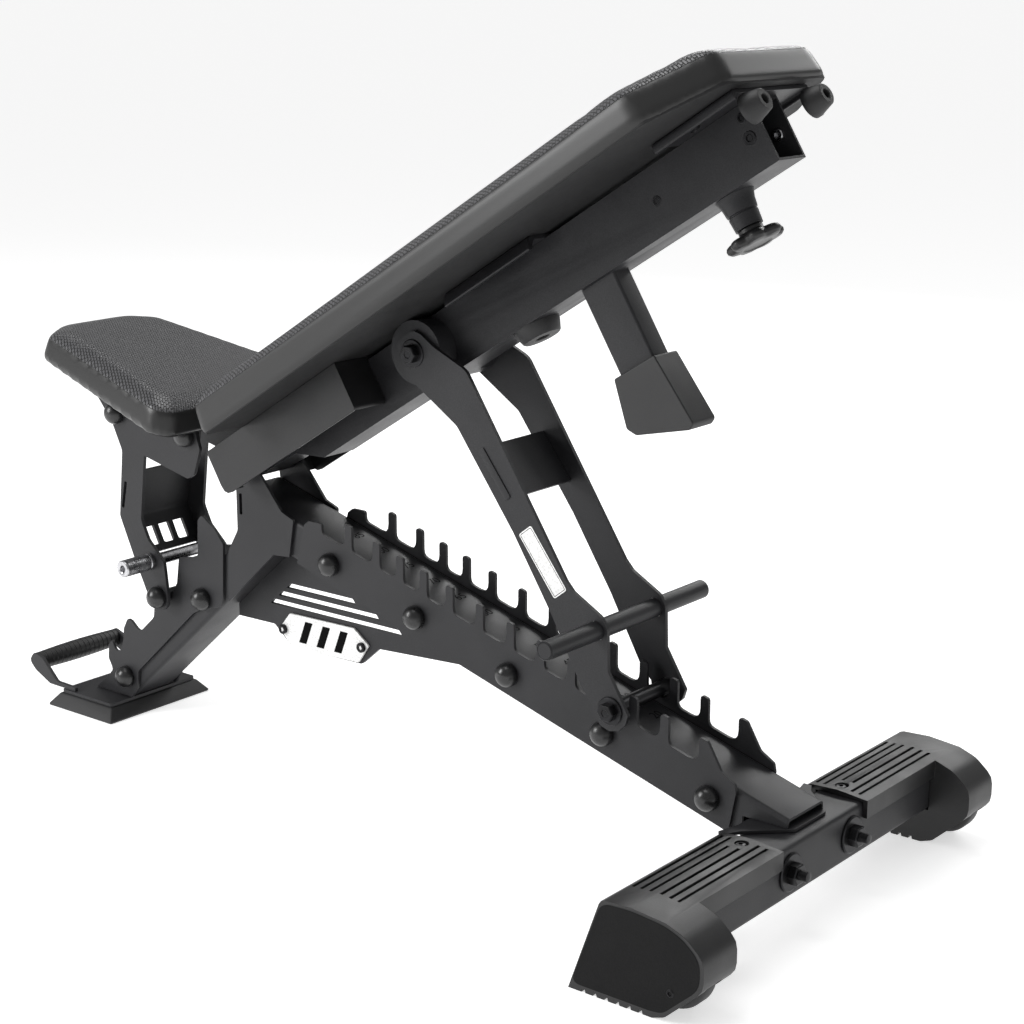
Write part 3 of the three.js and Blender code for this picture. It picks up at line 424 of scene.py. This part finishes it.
def lathe(profile, along, origin, matrix=UPRIGHT, sides=48):
    """Surface of revolution: profile is (radius, height) in metres, turned about axis along."""
    profile = np.asarray(profile, float)
    turn = np.linspace(0, 2 * np.pi, sides, endpoint=False)
    ring = np.stack([np.cos(turn), np.sin(turn)], 1)
    axes = {"Y": (0, 2, 1), "Z": (0, 1, 2), "X": (1, 2, 0)}[along]
    points = np.zeros((len(profile), sides, 3))
    points[..., axes[0]] = profile[:, 0, None] * ring[None, :, 0]
    points[..., axes[1]] = profile[:, 0, None] * ring[None, :, 1]
    points[..., axes[2]] = profile[:, 1, None]
    points = points.reshape(-1, 3) + np.asarray(origin, float)
    return carried(points, matrix), ring_quads(len(profile), sides)


def joined(*parts):
    """Several (vertices, faces) lists as one."""
    vertices, faces, count = [], [], 0
    for v, f in parts:
        vertices.append(np.asarray(v, float))
        faces += [[int(i) + count for i in face] for face in f]
        count += len(v)
    return np.concatenate(vertices), faces


def dome_bolt(node):
    """Both domes of a capped bolt: a washer step, a straight skirt and a three-quarter ball."""
    low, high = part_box(node)
    mid = (low + high) / 2
    cap = (high.x - low.x) / 2 * 1.02
    half = (high.y - low.y) / 2
    # the cap starts 16 mm below its top, and its ball bulges a little past the skirt
    seat_y = half - 16 * MM
    ball = cap * 1.06
    profile = [(0.0, seat_y - 1 * MM), (cap * 0.8, seat_y - 1 * MM), (cap * 0.8, seat_y + 0.6 * MM),
               (cap * 0.9, seat_y + 0.8 * MM), (cap, seat_y + 2 * MM)]
    angle = np.linspace(math.radians(-12), math.pi / 2, 14)
    profile += [(ball * math.cos(a), half - ball * 0.86 + ball * 0.86 * math.sin(a)) for a in angle]
    far = lathe(profile, "Y", mid, sides=40)
    near = lathe([(r, -y) for r, y in profile], "Y", mid, sides=40)
    place_piece(node + "_caps", *joined(far, near), cap_plastic, BODY_OF[node], "black_fasteners", [node],
                smooth=50)


beam_bolts = [f"beam_bolt_{i}" for i in range(1, 6)]
for node in beam_bolts + ["leg_bolt_1", "leg_bolt_2", "seat_bolt_1", "seat_bolt_2", "seat_rod"]:
    dome_bolt(node)

# The seat rod's middle, which lies in the hooks, is plain round bar. Its thin dark oxide keeps
# some of the metal's shine.
oxide = grained("black-oxide steel", "#2c2c2e", "#1c1c1d", 0.9, 0.02, 0.33, 15, Metallic=0.75)
rod_r = 8 * MM
vertices, faces = lathe([(0, -57 * MM), (rod_r, -57 * MM), (rod_r, 57 * MM), (0, 57 * MM)], "Y", SEAT_ROD)
place_piece("seat_rod_bar", vertices, faces, oxide, "seat", "black_fasteners")

# --- Strut pivot bolt and lock rod --------------------------------------------------------------------
# Steel bolts with hexagon heads over plain washers. The lock rod is ground bar whose ends are
# turned down a little where they enter the strut plates.


def hex_end(middle, y0, sign, across, thick, washer):
    """Washer and chamfered hexagon head, standing out from y0 towards the side that sign gives."""
    disc = lathe([(0, sign * y0), (washer, sign * y0), (washer, sign * (y0 + 1.6 * MM)),
                  (washer - 0.8 * MM, sign * (y0 + 2.4 * MM)), (0, sign * (y0 + 2.4 * MM))], "Y", middle,
                 sides=40)
    head = lathe([(0, sign * (y0 + 2.4 * MM)), (across, sign * (y0 + 2.4 * MM)),
                  (across, sign * (y0 + thick - 1.2 * MM)), (across * 0.9, sign * (y0 + thick)),
                  (across * 0.45, sign * (y0 + thick)), (across * 0.4, sign * (y0 + thick - 0.8 * MM)),
                  (0, sign * (y0 + thick - 0.8 * MM))], "Y", middle, sides=6)
    return joined(disc, head)


plate_outer = abs(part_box("strut_plate_near")[0].y)
for node, body, bar in [("lock_rod", "strut", 9), ("strut_pivot_bolt", "backrest", 8)]:
    mid = centre(node)
    ends = [hex_end(mid, plate_outer, sign, 11 * MM, 11 * MM, 16.5 * MM) for sign in (-1, 1)]
    inner = plate_outer - 5.2 * MM
    shaft = lathe([(0, -inner), (bar * MM * 0.85, -inner), (bar * MM, -inner + 1 * MM),
                   (bar * MM, inner - 1 * MM), (bar * MM * 0.85, inner), (0, inner)], "Y", mid)
    vertices, faces = joined(*ends, shaft)
    place_piece(node + "_turned", vertices, faces, oxide, body, "black_fasteners", [node], smooth=30,
                bevel=0.0003)

axle = centre("backrest_axle")
ends = [hex_end(axle, 42 * MM, sign, 11 * MM, 9 * MM, 12 * MM) for sign in (-1, 1)]
vertices, faces = joined(*ends)
place_piece("backrest_axle_ends", vertices, faces, oxide, "backrest", "black_fasteners", ["backrest_axle"],
            smooth=30)

# --- Crossbar bolts ---------------------------------------------------------------------------------
# They hold the crossbar to the beam's end flange. Each has a broad washer, a nut and a short stud
# end on the crossbar's outer face, and a hexagon head behind.
bar_low, bar_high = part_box("rear_crossbar")
for node in ["crossbar_bolt_near", "crossbar_bolt_far"]:
    mid = centre(node)
    face_x = bar_high.x
    at = Vector((0, mid.y, mid.z))
    washer = lathe([(0, face_x), (21.5 * MM, face_x), (21.5 * MM, face_x + 2 * MM),
                    (20 * MM, face_x + 3 * MM), (0, face_x + 3 * MM)], "X", at, sides=48)
    nut = lathe([(0, face_x + 3 * MM), (12.5 * MM, face_x + 3 * MM), (12.5 * MM, face_x + 12 * MM),
                 (11 * MM, face_x + 13 * MM), (0, face_x + 13 * MM)], "X", at, sides=6)
    stud = lathe([(0, face_x + 12 * MM)] + [(6 * MM - 0.5 * MM * (i % 2), face_x + (13 + i * 0.8) * MM)
                                            for i in range(13)] + [(0, face_x + 24 * MM)], "X", at, sides=24)
    back_x = bar_low.x
    head = lathe([(0, back_x), (12.5 * MM, back_x), (12.5 * MM, back_x - 8 * MM),
                  (11 * MM, back_x - 9 * MM), (0, back_x - 9 * MM)], "X", at, sides=6)
    vertices, faces = joined(washer, nut, stud, head)
    place_piece(node + "_turned", vertices, faces, oxide, "frame", "black_fasteners", [node], smooth=30,
                bevel=0.0003)

# --- Handlebar on the strut -------------------------------------------------------------------------
# A round steel tube through both strut plates, powder-coated, which the hand lifts to move the
# lock rod. Each end is closed by a flat plug.
low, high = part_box("strut_handlebar")
mid, half, r = (low + high) / 2, (high.y - low.y) / 2, 11 * MM
vertices, faces = lathe([(0, -half), (r * 0.82, -half), (r * 0.86, -half + 0.6 * MM),
                         (r * 0.9, -half + 0.1 * MM), (r, -half + 1.2 * MM), (r, half - 1.2 * MM),
                         (r * 0.9, half - 0.1 * MM), (r * 0.86, half - 0.6 * MM), (r * 0.82, half),
                         (0, half)], "Y", mid)
place_piece("strut_handlebar_round", vertices, faces, powder, "strut", "powder_coat", ["strut_handlebar"],
            smooth=35)

# --- Knurled seat handle --------------------------------------------------------------------------
# Bright steel with a diamond knurl rolled into the grip and a hexagon socket in its outer end. A
# plain core passes through the seat frame to a nut on the far side.

# plating gives a bright, faintly clouded shine
bright = grained("nickel-plated steel", "#c9c9cb", "#a9a9ac", 1.2, 0.02, 0.27, 12, Metallic=1.0)
low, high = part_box("seat_handle")
mid = Vector(((low.x + high.x) / 2, 0, (low.z + high.z) / 2))
outer_y, inner_y = low.y, -(plate_outer + 0.2 * MM)
turns, rows = 96, 90
height = np.linspace(0, 1, rows)
angle = np.linspace(0, 2 * np.pi, turns, endpoint=False)
grid_h, grid_a = np.meshgrid(height, angle, indexing="ij")
grip_length = inner_y - outer_y
KNURL_MM = 2.6
wave = grid_h * grip_length / (KNURL_MM * MM)
lobes = 24
diamonds = np.maximum(np.abs(np.sin(lobes / 2 * grid_a + np.pi * wave)),
                      np.abs(np.sin(lobes / 2 * grid_a - np.pi * wave)))
body_zone = np.clip(np.minimum((grid_h - 0.1) * 25, (0.86 - grid_h) * 25), 0, 1)
collar_groove = 0.9 * MM * np.exp(-((grid_h - 0.88) / 0.018) ** 2)
radius = 11.4 * MM - 0.5 * MM * (1 - diamonds) * body_zone - collar_groove
radius = np.where(grid_h < 0.03, radius - 1.2 * MM * (1 - grid_h / 0.03), radius)
grip = np.stack([radius * np.cos(grid_a), outer_y + grid_h * grip_length, radius * np.sin(grid_a)], -1)
quads = ring_quads(rows, turns)
socket = lathe([(radius[0, 0], outer_y), (6 * MM, outer_y)], "Y", (0, 0, 0), sides=turns)
hexagon = lathe([(6 * MM, outer_y), (4.8 * MM, outer_y + 0.8 * MM), (4.8 * MM, outer_y + 7 * MM),
                 (0, outer_y + 7 * MM)], "Y", (0, 0, 0), sides=turns)
inner_end = lathe([(radius[-1, 0], inner_y), (0, inner_y)], "Y", (0, 0, 0), sides=turns)
core = lathe([(0, inner_y), (8 * MM, inner_y), (8 * MM, -inner_y), (0, -inner_y)], "Y", (0, 0, 0))
far_nut = lathe([(0, -inner_y), (12 * MM, -inner_y), (12 * MM, -inner_y + 6 * MM),
                 (10.5 * MM, -inner_y + 7 * MM), (0, -inner_y + 7 * MM)], "Y", (0, 0, 0), sides=6)
vertices, faces = joined((grip.reshape(-1, 3), quads), socket, hexagon, inner_end, core, far_nut)
place_piece("seat_handle_knurled", vertices + np.array(mid), faces, bright, "seat", "bright_steel",
            ["seat_handle"], smooth=35)

# --- Wheels and axles -----------------------------------------------------------------------------
# Solid moulded rubber tyres with a step on each face, which roll when the front is lifted. They
# turn on plain bright axles whose ends sit in the shoe's two walls.

# an etched mould leaves it dull, with no clear highlight
rubber = grained("moulded black rubber", "#202021", "#19191a", 1.3, 0.06, 0.55, 40, IOR=1.52)
for side in ("near", "far"):
    low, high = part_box(f"{side}_wheel")
    mid, half, r = (low + high) / 2, (high.y - low.y) / 2, (high.z - low.z) / 2
    face = [(7 * MM, half - 2 * MM), (12 * MM, half - 2 * MM), (13 * MM, half), (17 * MM, half),
            (18 * MM, half - 2 * MM), (30 * MM, half - 2 * MM), (32 * MM, half)]
    rim = face + [(r - 5 * MM, half), (r - 2.4 * MM, half - 0.8 * MM), (r - 0.8 * MM, half - 2.4 * MM),
                  (r, half - 5 * MM)]
    profile = rim + [(a, -b) for a, b in reversed(rim)]
    profile.append(profile[0])
    vertices, faces = lathe(profile, "Y", mid, sides=72)
    place_piece(f"{side}_wheel_tyre", vertices, faces, rubber, f"{side}_wheel_body", "black_rubber",
                [f"{side}_wheel"], smooth=32)
    low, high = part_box(f"{side}_wheel_axle")
    mid, half = (low + high) / 2, (high.y - low.y) / 2
    vertices, faces = lathe([(0, -half), (5 * MM, -half), (6 * MM, -half + 1 * MM), (6 * MM, half - 1 * MM),
                             (5 * MM, half), (0, half)], "Y", mid, sides=32)
    place_piece(f"{side}_axle_pin", vertices, faces, bright, "frame", "bright_steel",
                [f"{side}_wheel_axle"], smooth=35)

# --- Shoes --------------------------------------------------------------------------------------------
# Thick moulded covers on the ends of the crossbar, with raised ribs on top and a soft edge all round.

# the mould's light texture spreads the highlights along the edges
moulded = grained("matt moulded polypropylene", "#1b1b1c", "#141415", 1.4, 0.07, 0.42, 50, IOR=1.49)
for side in ("near", "far"):
    finished(f"{side}_shoe", moulded, "frame", 1.0)

# --- Front foot ---------------------------------------------------------------------------------------
# A bevelled block of moulded rubber under the steel foot plate. It carries the front of the bench
# and keeps it from sliding.
finished("rubber_foot", rubber, "frame", 2.0)

# --- Carry grip ---------------------------------------------------------------------------------------
# Two ribbed half shells screwed together round the bar, thickest in the middle.
front_low, front_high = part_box("handle_grip_front")
back_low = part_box("handle_grip_back")[0]
mid = Vector(((front_high.x + back_low.x) / 2, 0, (front_low.z + front_high.z) / 2))
half = (front_high.y - front_low.y) / 2
RINGS, FAN = 161, 25
RIB_PITCH = 8.2
along = np.linspace(-1, 1, RINGS)[:, None]
swell = 12.2 * MM + 1.8 * MM * np.cos(along * np.pi / 2)
ribs = 0.7 * MM * (np.abs(((along * half / MM) / RIB_PITCH) % 1 - 0.5) < 0.07)
for name, node, start in [("grip_front", "handle_grip_front", -90), ("grip_back", "handle_grip_back", 90)]:
    # each shell stops 1.2 degrees short of the joint; its skin runs out and its bore runs back
    angle = np.radians(start + np.linspace(1.2, 178.8, FAN))
    skin = (swell - ribs) * np.ones(FAN)
    bore = 7.4 * MM * np.ones((RINGS, FAN))
    radius = np.concatenate([skin, bore], 1)
    turn = np.concatenate([angle, angle[::-1]])
    loop = np.stack([radius * np.cos(turn), along * half * np.ones(2 * FAN), radius * np.sin(turn)], -1)
    faces = ring_quads(RINGS, 2 * FAN).tolist()
    for base in (0, (RINGS - 1) * 2 * FAN):
        faces += [[base + i, base + i + 1, base + 2 * FAN - 2 - i, base + 2 * FAN - 1 - i]
                  for i in range(FAN - 1)]
    place_piece(name, loop.reshape(-1, 3) + np.array(mid), faces, moulded, "frame", "black_plastic", [node],
                smooth=35)

# --- Bumpers ------------------------------------------------------------------------------------------
# Moulded rubber: two cones at the head end and one under the tube, each screwed on through the
# hole in its flat face, and a square boot pushed over the stop tube.
for side, sign in [("near", -1), ("far", 1)]:
    low_s, high_s = 886.8 * MM, 909 * MM
    profile = [(0, low_s), (16.6 * MM, low_s), (16.6 * MM, low_s + 5 * MM), (15.8 * MM, low_s + 6.5 * MM),
               (12.2 * MM, high_s - 1.4 * MM), (10.6 * MM, high_s), (6 * MM, high_s),
               (5.2 * MM, high_s - 0.7 * MM), (5 * MM, high_s - 7 * MM), (0, high_s - 7 * MM)]
    vertices, faces = lathe(profile, "X", (0, sign * 59 * MM, 5 * MM), BACK, sides=56)
    place_piece(f"head_bumper_{side}_cone", vertices, faces, rubber, "backrest", "black_rubber",
                [f"head_bumper_{side}"], smooth=35)

TUBE_LOW = -47.2 * MM
profile = [(0, TUBE_LOW), (28 * MM, TUBE_LOW), (27.6 * MM, TUBE_LOW - 3 * MM),
           (23.4 * MM, TUBE_LOW - 14.5 * MM), (21.6 * MM, TUBE_LOW - 16 * MM), (9 * MM, TUBE_LOW - 16 * MM),
           (8 * MM, TUBE_LOW - 15 * MM), (8 * MM, TUBE_LOW - 8 * MM), (0, TUBE_LOW - 8 * MM)]
vertices, faces = lathe(profile, "Z", (488 * MM, 0, 0), BACK, sides=64)
place_piece("mid_bumper_cone", vertices, faces, rubber, "backrest", "black_rubber", ["mid_bumper"],
            smooth=35)

finished("stop_boot", rubber, "backrest", 2.2)

# --- Hinge shroud -------------------------------------------------------------------------------------
# One smooth plastic moulding that covers the backrest hinge and keeps fingers out of it, with
# soft corners all round.

# almost no texture, so its broad sides shade evenly
smooth_plastic = grained("smooth black plastic", "#1e1e1f", "#181819", 2.2, 0.02, 0.4, 40, IOR=1.5,
                         Specular_IOR_Level=0.4)
finished("hinge_shroud", smooth_plastic, "backrest", 3.2)

# --- Pull pin -------------------------------------------------------------------------------------
# A flared steel collar is welded on the tube's underside. A moulded star knob below it pulls the
# bright pin out against a spring.
PIN_S = 794 * MM
profile = [(0, TUBE_LOW), (22 * MM, TUBE_LOW), (20.5 * MM, TUBE_LOW - 3 * MM),
           (18.6 * MM, TUBE_LOW - 9 * MM), (17.6 * MM, TUBE_LOW - 17 * MM), (17 * MM, TUBE_LOW - 19 * MM),
           (15.6 * MM, TUBE_LOW - 19.6 * MM), (15.6 * MM, TUBE_LOW - 20.6 * MM),
           (16.6 * MM, TUBE_LOW - 21.4 * MM), (15.4 * MM, TUBE_LOW - 36 * MM), (6 * MM, TUBE_LOW - 36 * MM),
           (0, TUBE_LOW - 36 * MM)]
vertices, faces = lathe(profile, "Z", (PIN_S, 0, 0), BACK, sides=64)
place_piece("pin_collar_turned", vertices, faces, powder, "backrest", "powder_coat", ["pin_collar"],
            smooth=35)

LOBES = 7
knob_profile = [(0, -36.4), (13, -36.4), (13.6, -37.5), (13.9, -41), (16, -43.2), (22, -44), (27.5, -44.8),
                (31, -46.5), (32.6, -49.5), (32, -52.6), (29, -55.2), (24, -56.2), (17, -56.4),
                (15.5, -55.4), (9, -55), (0, -55)]
dense = []
for (r0, h0), (r1, h1) in zip(knob_profile[:-1], knob_profile[1:]):
    dense += [(r0 + (r1 - r0) * k / 3, h0 + (h1 - h0) * k / 3) for k in range(3)]
dense.append(knob_profile[-1])
dense = np.array(dense)
SPOKES = 140
angle = np.linspace(0, 2 * np.pi, SPOKES, endpoint=False)
# between lobes the rim is drawn in by up to 5.5 mm, less towards the sleeve
notch = 5.5 * (0.5 - 0.5 * np.cos(LOBES * angle)) ** 1.6
weight = np.clip((dense[:, 0] - 16) / 14, 0, 1)
radius = (dense[:, 0, None] - weight[:, None] * notch[None, :]) * MM
knob = np.stack([PIN_S + radius * np.cos(angle), radius * np.sin(angle),
                 TUBE_LOW + dense[:, 1, None] * MM * np.ones(SPOKES)], -1).reshape(-1, 3)
place_piece("pull_knob", carried(knob, BACK), ring_quads(len(dense), SPOKES), moulded, "pull_pin_body",
            "black_plastic", ["pull_pin"], smooth=60)
vertices, faces = lathe([(0, TUBE_LOW - 37 * MM), (5.3 * MM, TUBE_LOW - 37 * MM),
                         (5.3 * MM, TUBE_LOW + 14 * MM), (4 * MM, TUBE_LOW + 16 * MM),
                         (0, TUBE_LOW + 16 * MM)], "Z", (PIN_S, 0, 0), BACK, sides=24)
place_piece("pull_pin_rod", vertices, faces, bright, "pull_pin_body", "bright_steel")

# --- Backrest tube fittings --------------------------------------------------------------------------
# Socket screws in the tube's near wall, and a plated screw on the inside of its far wall, seen
# through the open end.
tube_face = -26 * MM


def socket_screw(s, t, radius, matrix, face_y, sign, proud=2.0):
    """A low round head with a hexagon recess, standing proud of the face by the given mm."""
    edge = lathe([(0, sign * -0.5 * MM), (radius, sign * -0.5 * MM), (radius, sign * (proud - 0.8) * MM),
                  (radius - 0.8 * MM, sign * proud * MM), (radius * 0.55, sign * proud * MM)], "Y",
                 (s, face_y, t), matrix, sides=32)
    recess = lathe([(radius * 0.55, sign * proud * MM), (radius * 0.5, sign * 0.2 * MM),
                    (0, sign * 0.2 * MM)], "Y", (s, face_y, t), matrix, sides=6)
    return joined(edge, recess)


near_screws = joined(*[socket_screw(s * MM, t * MM, r * MM, BACK, tube_face, -1, proud)
                       for s, t, r, proud in [(722, -11.7, 6, 0.6), (855, -11.2, 7.5, 1.2),
                                              (856, 11, 5.5, 1.2)]])
place_piece("tube_screws", *near_screws, oxide, "backrest", "black_fasteners", smooth=30)
vertices, faces = socket_screw(858 * MM, -12.7 * MM, 6.5 * MM, BACK, 23 * MM, -1, 3.5)
place_piece("tube_inner_screw", vertices, faces, bright, "backrest", "bright_steel", smooth=30)

# Domed screws that hold the pad boards to their brackets, heads down.
low_bolts = []
for s, y in [(470, -44), (470, 44), (817, -55), (817, 55)]:
    profile = [(0, 24 * MM), (8 * MM, 24 * MM), (8 * MM, 21.5 * MM), (6.5 * MM, 19.8 * MM),
               (3.4 * MM, 19.4 * MM), (3 * MM, 20.6 * MM), (0, 20.6 * MM)]
    low_bolts.append(lathe(profile, "Z", (s * MM, y * MM, 0), BACK, sides=28))
place_piece("pad_screws", *joined(*low_bolts), oxide, "backrest", "black_fasteners", smooth=30)

# --- Strut tabs -----------------------------------------------------------------------------------
# The cross plate's ends pass through slots in the strut plates and are welded outside, where the
# ground-down weld leaves a low, rounded bar.
tabs = []
for sign in (-1, 1):
    y0, y1 = sign * 58.8 * MM, sign * 60.3 * MM
    plan = rounded_plan([(140, 15.5), (206, 15.5), (206, 24.5), (140, 24.5)], 3, 5) * MM
    ring = [[(s, y, t) for s, t in plan] for y in (y0, y1)]
    # the weld's crown: the outline drawn in towards the tab's middle and raised 0.3 mm
    inner = [(s + (0.173 - s) * 0.04, y1 + sign * 0.3 * MM, t + (0.02 - t) * 0.3) for s, t in plan]
    n = len(plan)
    vertices = np.array(ring[0] + ring[1] + inner)
    faces = [[i, (i + 1) % n, n + (i + 1) % n, n + i] for i in range(n)]
    faces += [[n + i, n + (i + 1) % n, 2 * n + (i + 1) % n, 2 * n + i] for i in range(n)]
    faces += [list(range(2 * n, 3 * n))]
    tabs.append((carried(vertices, STRUT), faces))
place_piece("strut_tabs", *joined(*tabs), powder, "strut", "powder_coat", smooth=30)

# --- Blank label ---------------------------------------------------------------------------------------
# A white adhesive film label on the outside of the near strut plate, with a thin printed frame
# and no lettering.

# film has a flat, slightly glossy white; printed ink is flat black and reflects hardly anything
label_white = grained("white label film", "#f2f2f1", "#ebebea", 3.0, 0.005, 0.35, 30, IOR=1.45)
ink = grained("black ink", "#0a0a0a", "#060606", 1.5, 0.005, 0.6, 20, IOR=1.45, Specular_IOR_Level=0.05)


def flat_sheet(outline, face_y, matrix, hole=None):
    """A flat face at face_y bounded by outline in mm, or the band between it and the hole outline."""
    points = [(s * MM, face_y, t * MM) for s, t in outline]
    n = len(outline)
    if hole is None:
        faces = [list(range(n))]
    else:
        points += [(s * MM, face_y, t * MM) for s, t in hole]
        faces = [[i, (i + 1) % n, n + (i + 1) % n, n + i] for i in range(n)]
    return carried(np.array(points), matrix), faces


label = rounded_plan([(246, 8), (330, 8), (330, 30), (246, 30)], 3, 5)
frame_out = rounded_plan([(247.5, 9.5), (328.5, 9.5), (328.5, 28.5), (247.5, 28.5)], 2, 4)
frame_in = rounded_plan([(248.2, 10.2), (327.8, 10.2), (327.8, 27.8), (248.2, 27.8)], 1.6, 4)
label_y = -59.35 * MM
place_piece("strut_label", *flat_sheet(label, label_y, STRUT), label_white, "strut", "white_plate")
place_piece("strut_label_frame", *flat_sheet(frame_out, label_y - 0.08 * MM, STRUT, frame_in), ink, "strut",
            "white_plate")

# --- Nameplate ---------------------------------------------------------------------------------------
# A white-enamelled steel plate below the beam, held by two black screws. Three slanting bars are
# printed on it in place of any name.

# baked enamel is an even white with a soft sheen
white_paint = grained("white enamel", "#efefee", "#e6e6e5", 2.0, 0.01, 0.4, 30, IOR=1.5)
low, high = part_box("nameplate")
finished("nameplate", white_paint, "frame", 0.6)
# BASE counts x from a line 372 mm beyond the plate's head-end edge, towards the head end
BASE = Matrix.Translation((high.x + 372 * MM, 0, 0))
# the plate's screws share its mesh: each gets a black head at the front and a tail at the back
front, rear = -5.8 * MM, high.y - 5.3 * MM
screw_places = [(-520 * MM, 167 * MM), (-382 * MM, 170 * MM)]
heads = [socket_screw(s, t, 6.4 * MM, BASE, front, -1, 4.6) for s, t in screw_places]
heads += [socket_screw(s, t, 6.2 * MM, BASE, rear, 1, 5.8) for s, t in screw_places]
place_piece("nameplate_screws", *joined(*heads), oxide, "frame", "black_fasteners", smooth=30)
bars = []
for start in (-493, -462, -431):
    bars.append(flat_sheet([(start, 154), (start + 13, 154), (start + 25, 184), (start + 12, 184)],
                           front - 0.15 * MM, BASE))
place_piece("nameplate_bars", *joined(*bars), ink, "frame", "white_plate")

# --- Shoe screws -----------------------------------------------------------------------------------
# Black steel screws that hold each cover on the crossbar: a pan head down in the cover's recess
# and a small socket screw in the end wall.
shoe_screws = []
for sign in (-1, 1):
    shoe_screws.append(lathe([(0, 104.2 * MM), (6.5 * MM, 104.2 * MM), (6.5 * MM, 106 * MM),
                              (5.2 * MM, 107.4 * MM), (2.6 * MM, 107.8 * MM), (2.4 * MM, 106.2 * MM),
                              (0, 106.2 * MM)], "Z", (247 * MM, sign * 104 * MM, 0), BASE, sides=24))
    shoe_screws.append(socket_screw(297.4 * MM, 33 * MM, 4.5 * MM, BASE, sign * 305 * MM, sign, 1.0))
place_piece("shoe_screws", *joined(*shoe_screws), oxide, "frame", "black_fasteners", smooth=30)

# --- Shoe end plates ---------------------------------------------------------------------------------
# A darker panel with a coarse moulded grain fills each end face, inside the cover's plain rim. It
# only changes the grain, so it is a single sheet just proud of the face.

# its rough moulded grain swallows the light, so the panel looks darker than its rim
coarse = grained("coarse black plastic", "#0f0f10", "#0a0a0b", 1.8, 0.15, 0.6, 30, IOR=1.45,
                 Specular_IOR_Level=0.2)
panel = rounded_plan([(176.5, 7), (213, 104), (250, 106), (290, 102), (311, 94), (331, 77), (331, 47),
                      (289, 9), (275, 7)], 12, 6)
panels = [flat_sheet(panel, sign * 305.3 * MM, BASE) for sign in (-1, 1)]
place_piece("shoe_end_panels", *joined(*panels), coarse, "frame", "black_plastic")

# --- Scale numbers ------------------------------------------------------------------------------------
# Printed on the beam's top beside the near slots, read from the head end. They are a plain falling
# series, evenly spaced, and don't state the angles that the ladder's slots give.
BEAM_SLOPE = math.radians(16.3)
beam_depth = 50
# the beam's underside passes 85 mm up at x 190; the ink stands 0.35 mm off the top
under_x, under_z, lift = 190, 85, 0.35
first_x, pitch = -394, 41.6
numbers = []
for k, figure in enumerate([85, 80, 75, 70, 65, 60, 55, 50, 45, 40, 30, 20]):
    text = bpy.data.curves.new(f"number_{figure}", "FONT")
    text.body = str(figure)
    text.size = 17 * MM
    text.align_x = "CENTER"
    holder = bpy.data.objects.new(text.name, text)
    bpy.context.scene.collection.objects.link(holder)
    sheet = bpy.data.meshes.new_from_object(holder)
    across, up = coordinates(sheet)[:, :2].T
    x = first_x + pitch * k
    z = under_z + (under_x - x) * math.tan(BEAM_SLOPE) + beam_depth / math.cos(BEAM_SLOPE) + lift
    # figures run across the bench; their tops point up the slope towards the foot
    vertices = np.column_stack([x * MM - up * math.cos(BEAM_SLOPE), 10 * MM + across,
                                z * MM + up * math.sin(BEAM_SLOPE)])
    numbers.append((carried(vertices, BASE), [list(p.vertices) for p in sheet.polygons]))
    bpy.data.objects.remove(holder)
place_piece("angle_numbers", *joined(*numbers), ink, "frame", "white_plate")
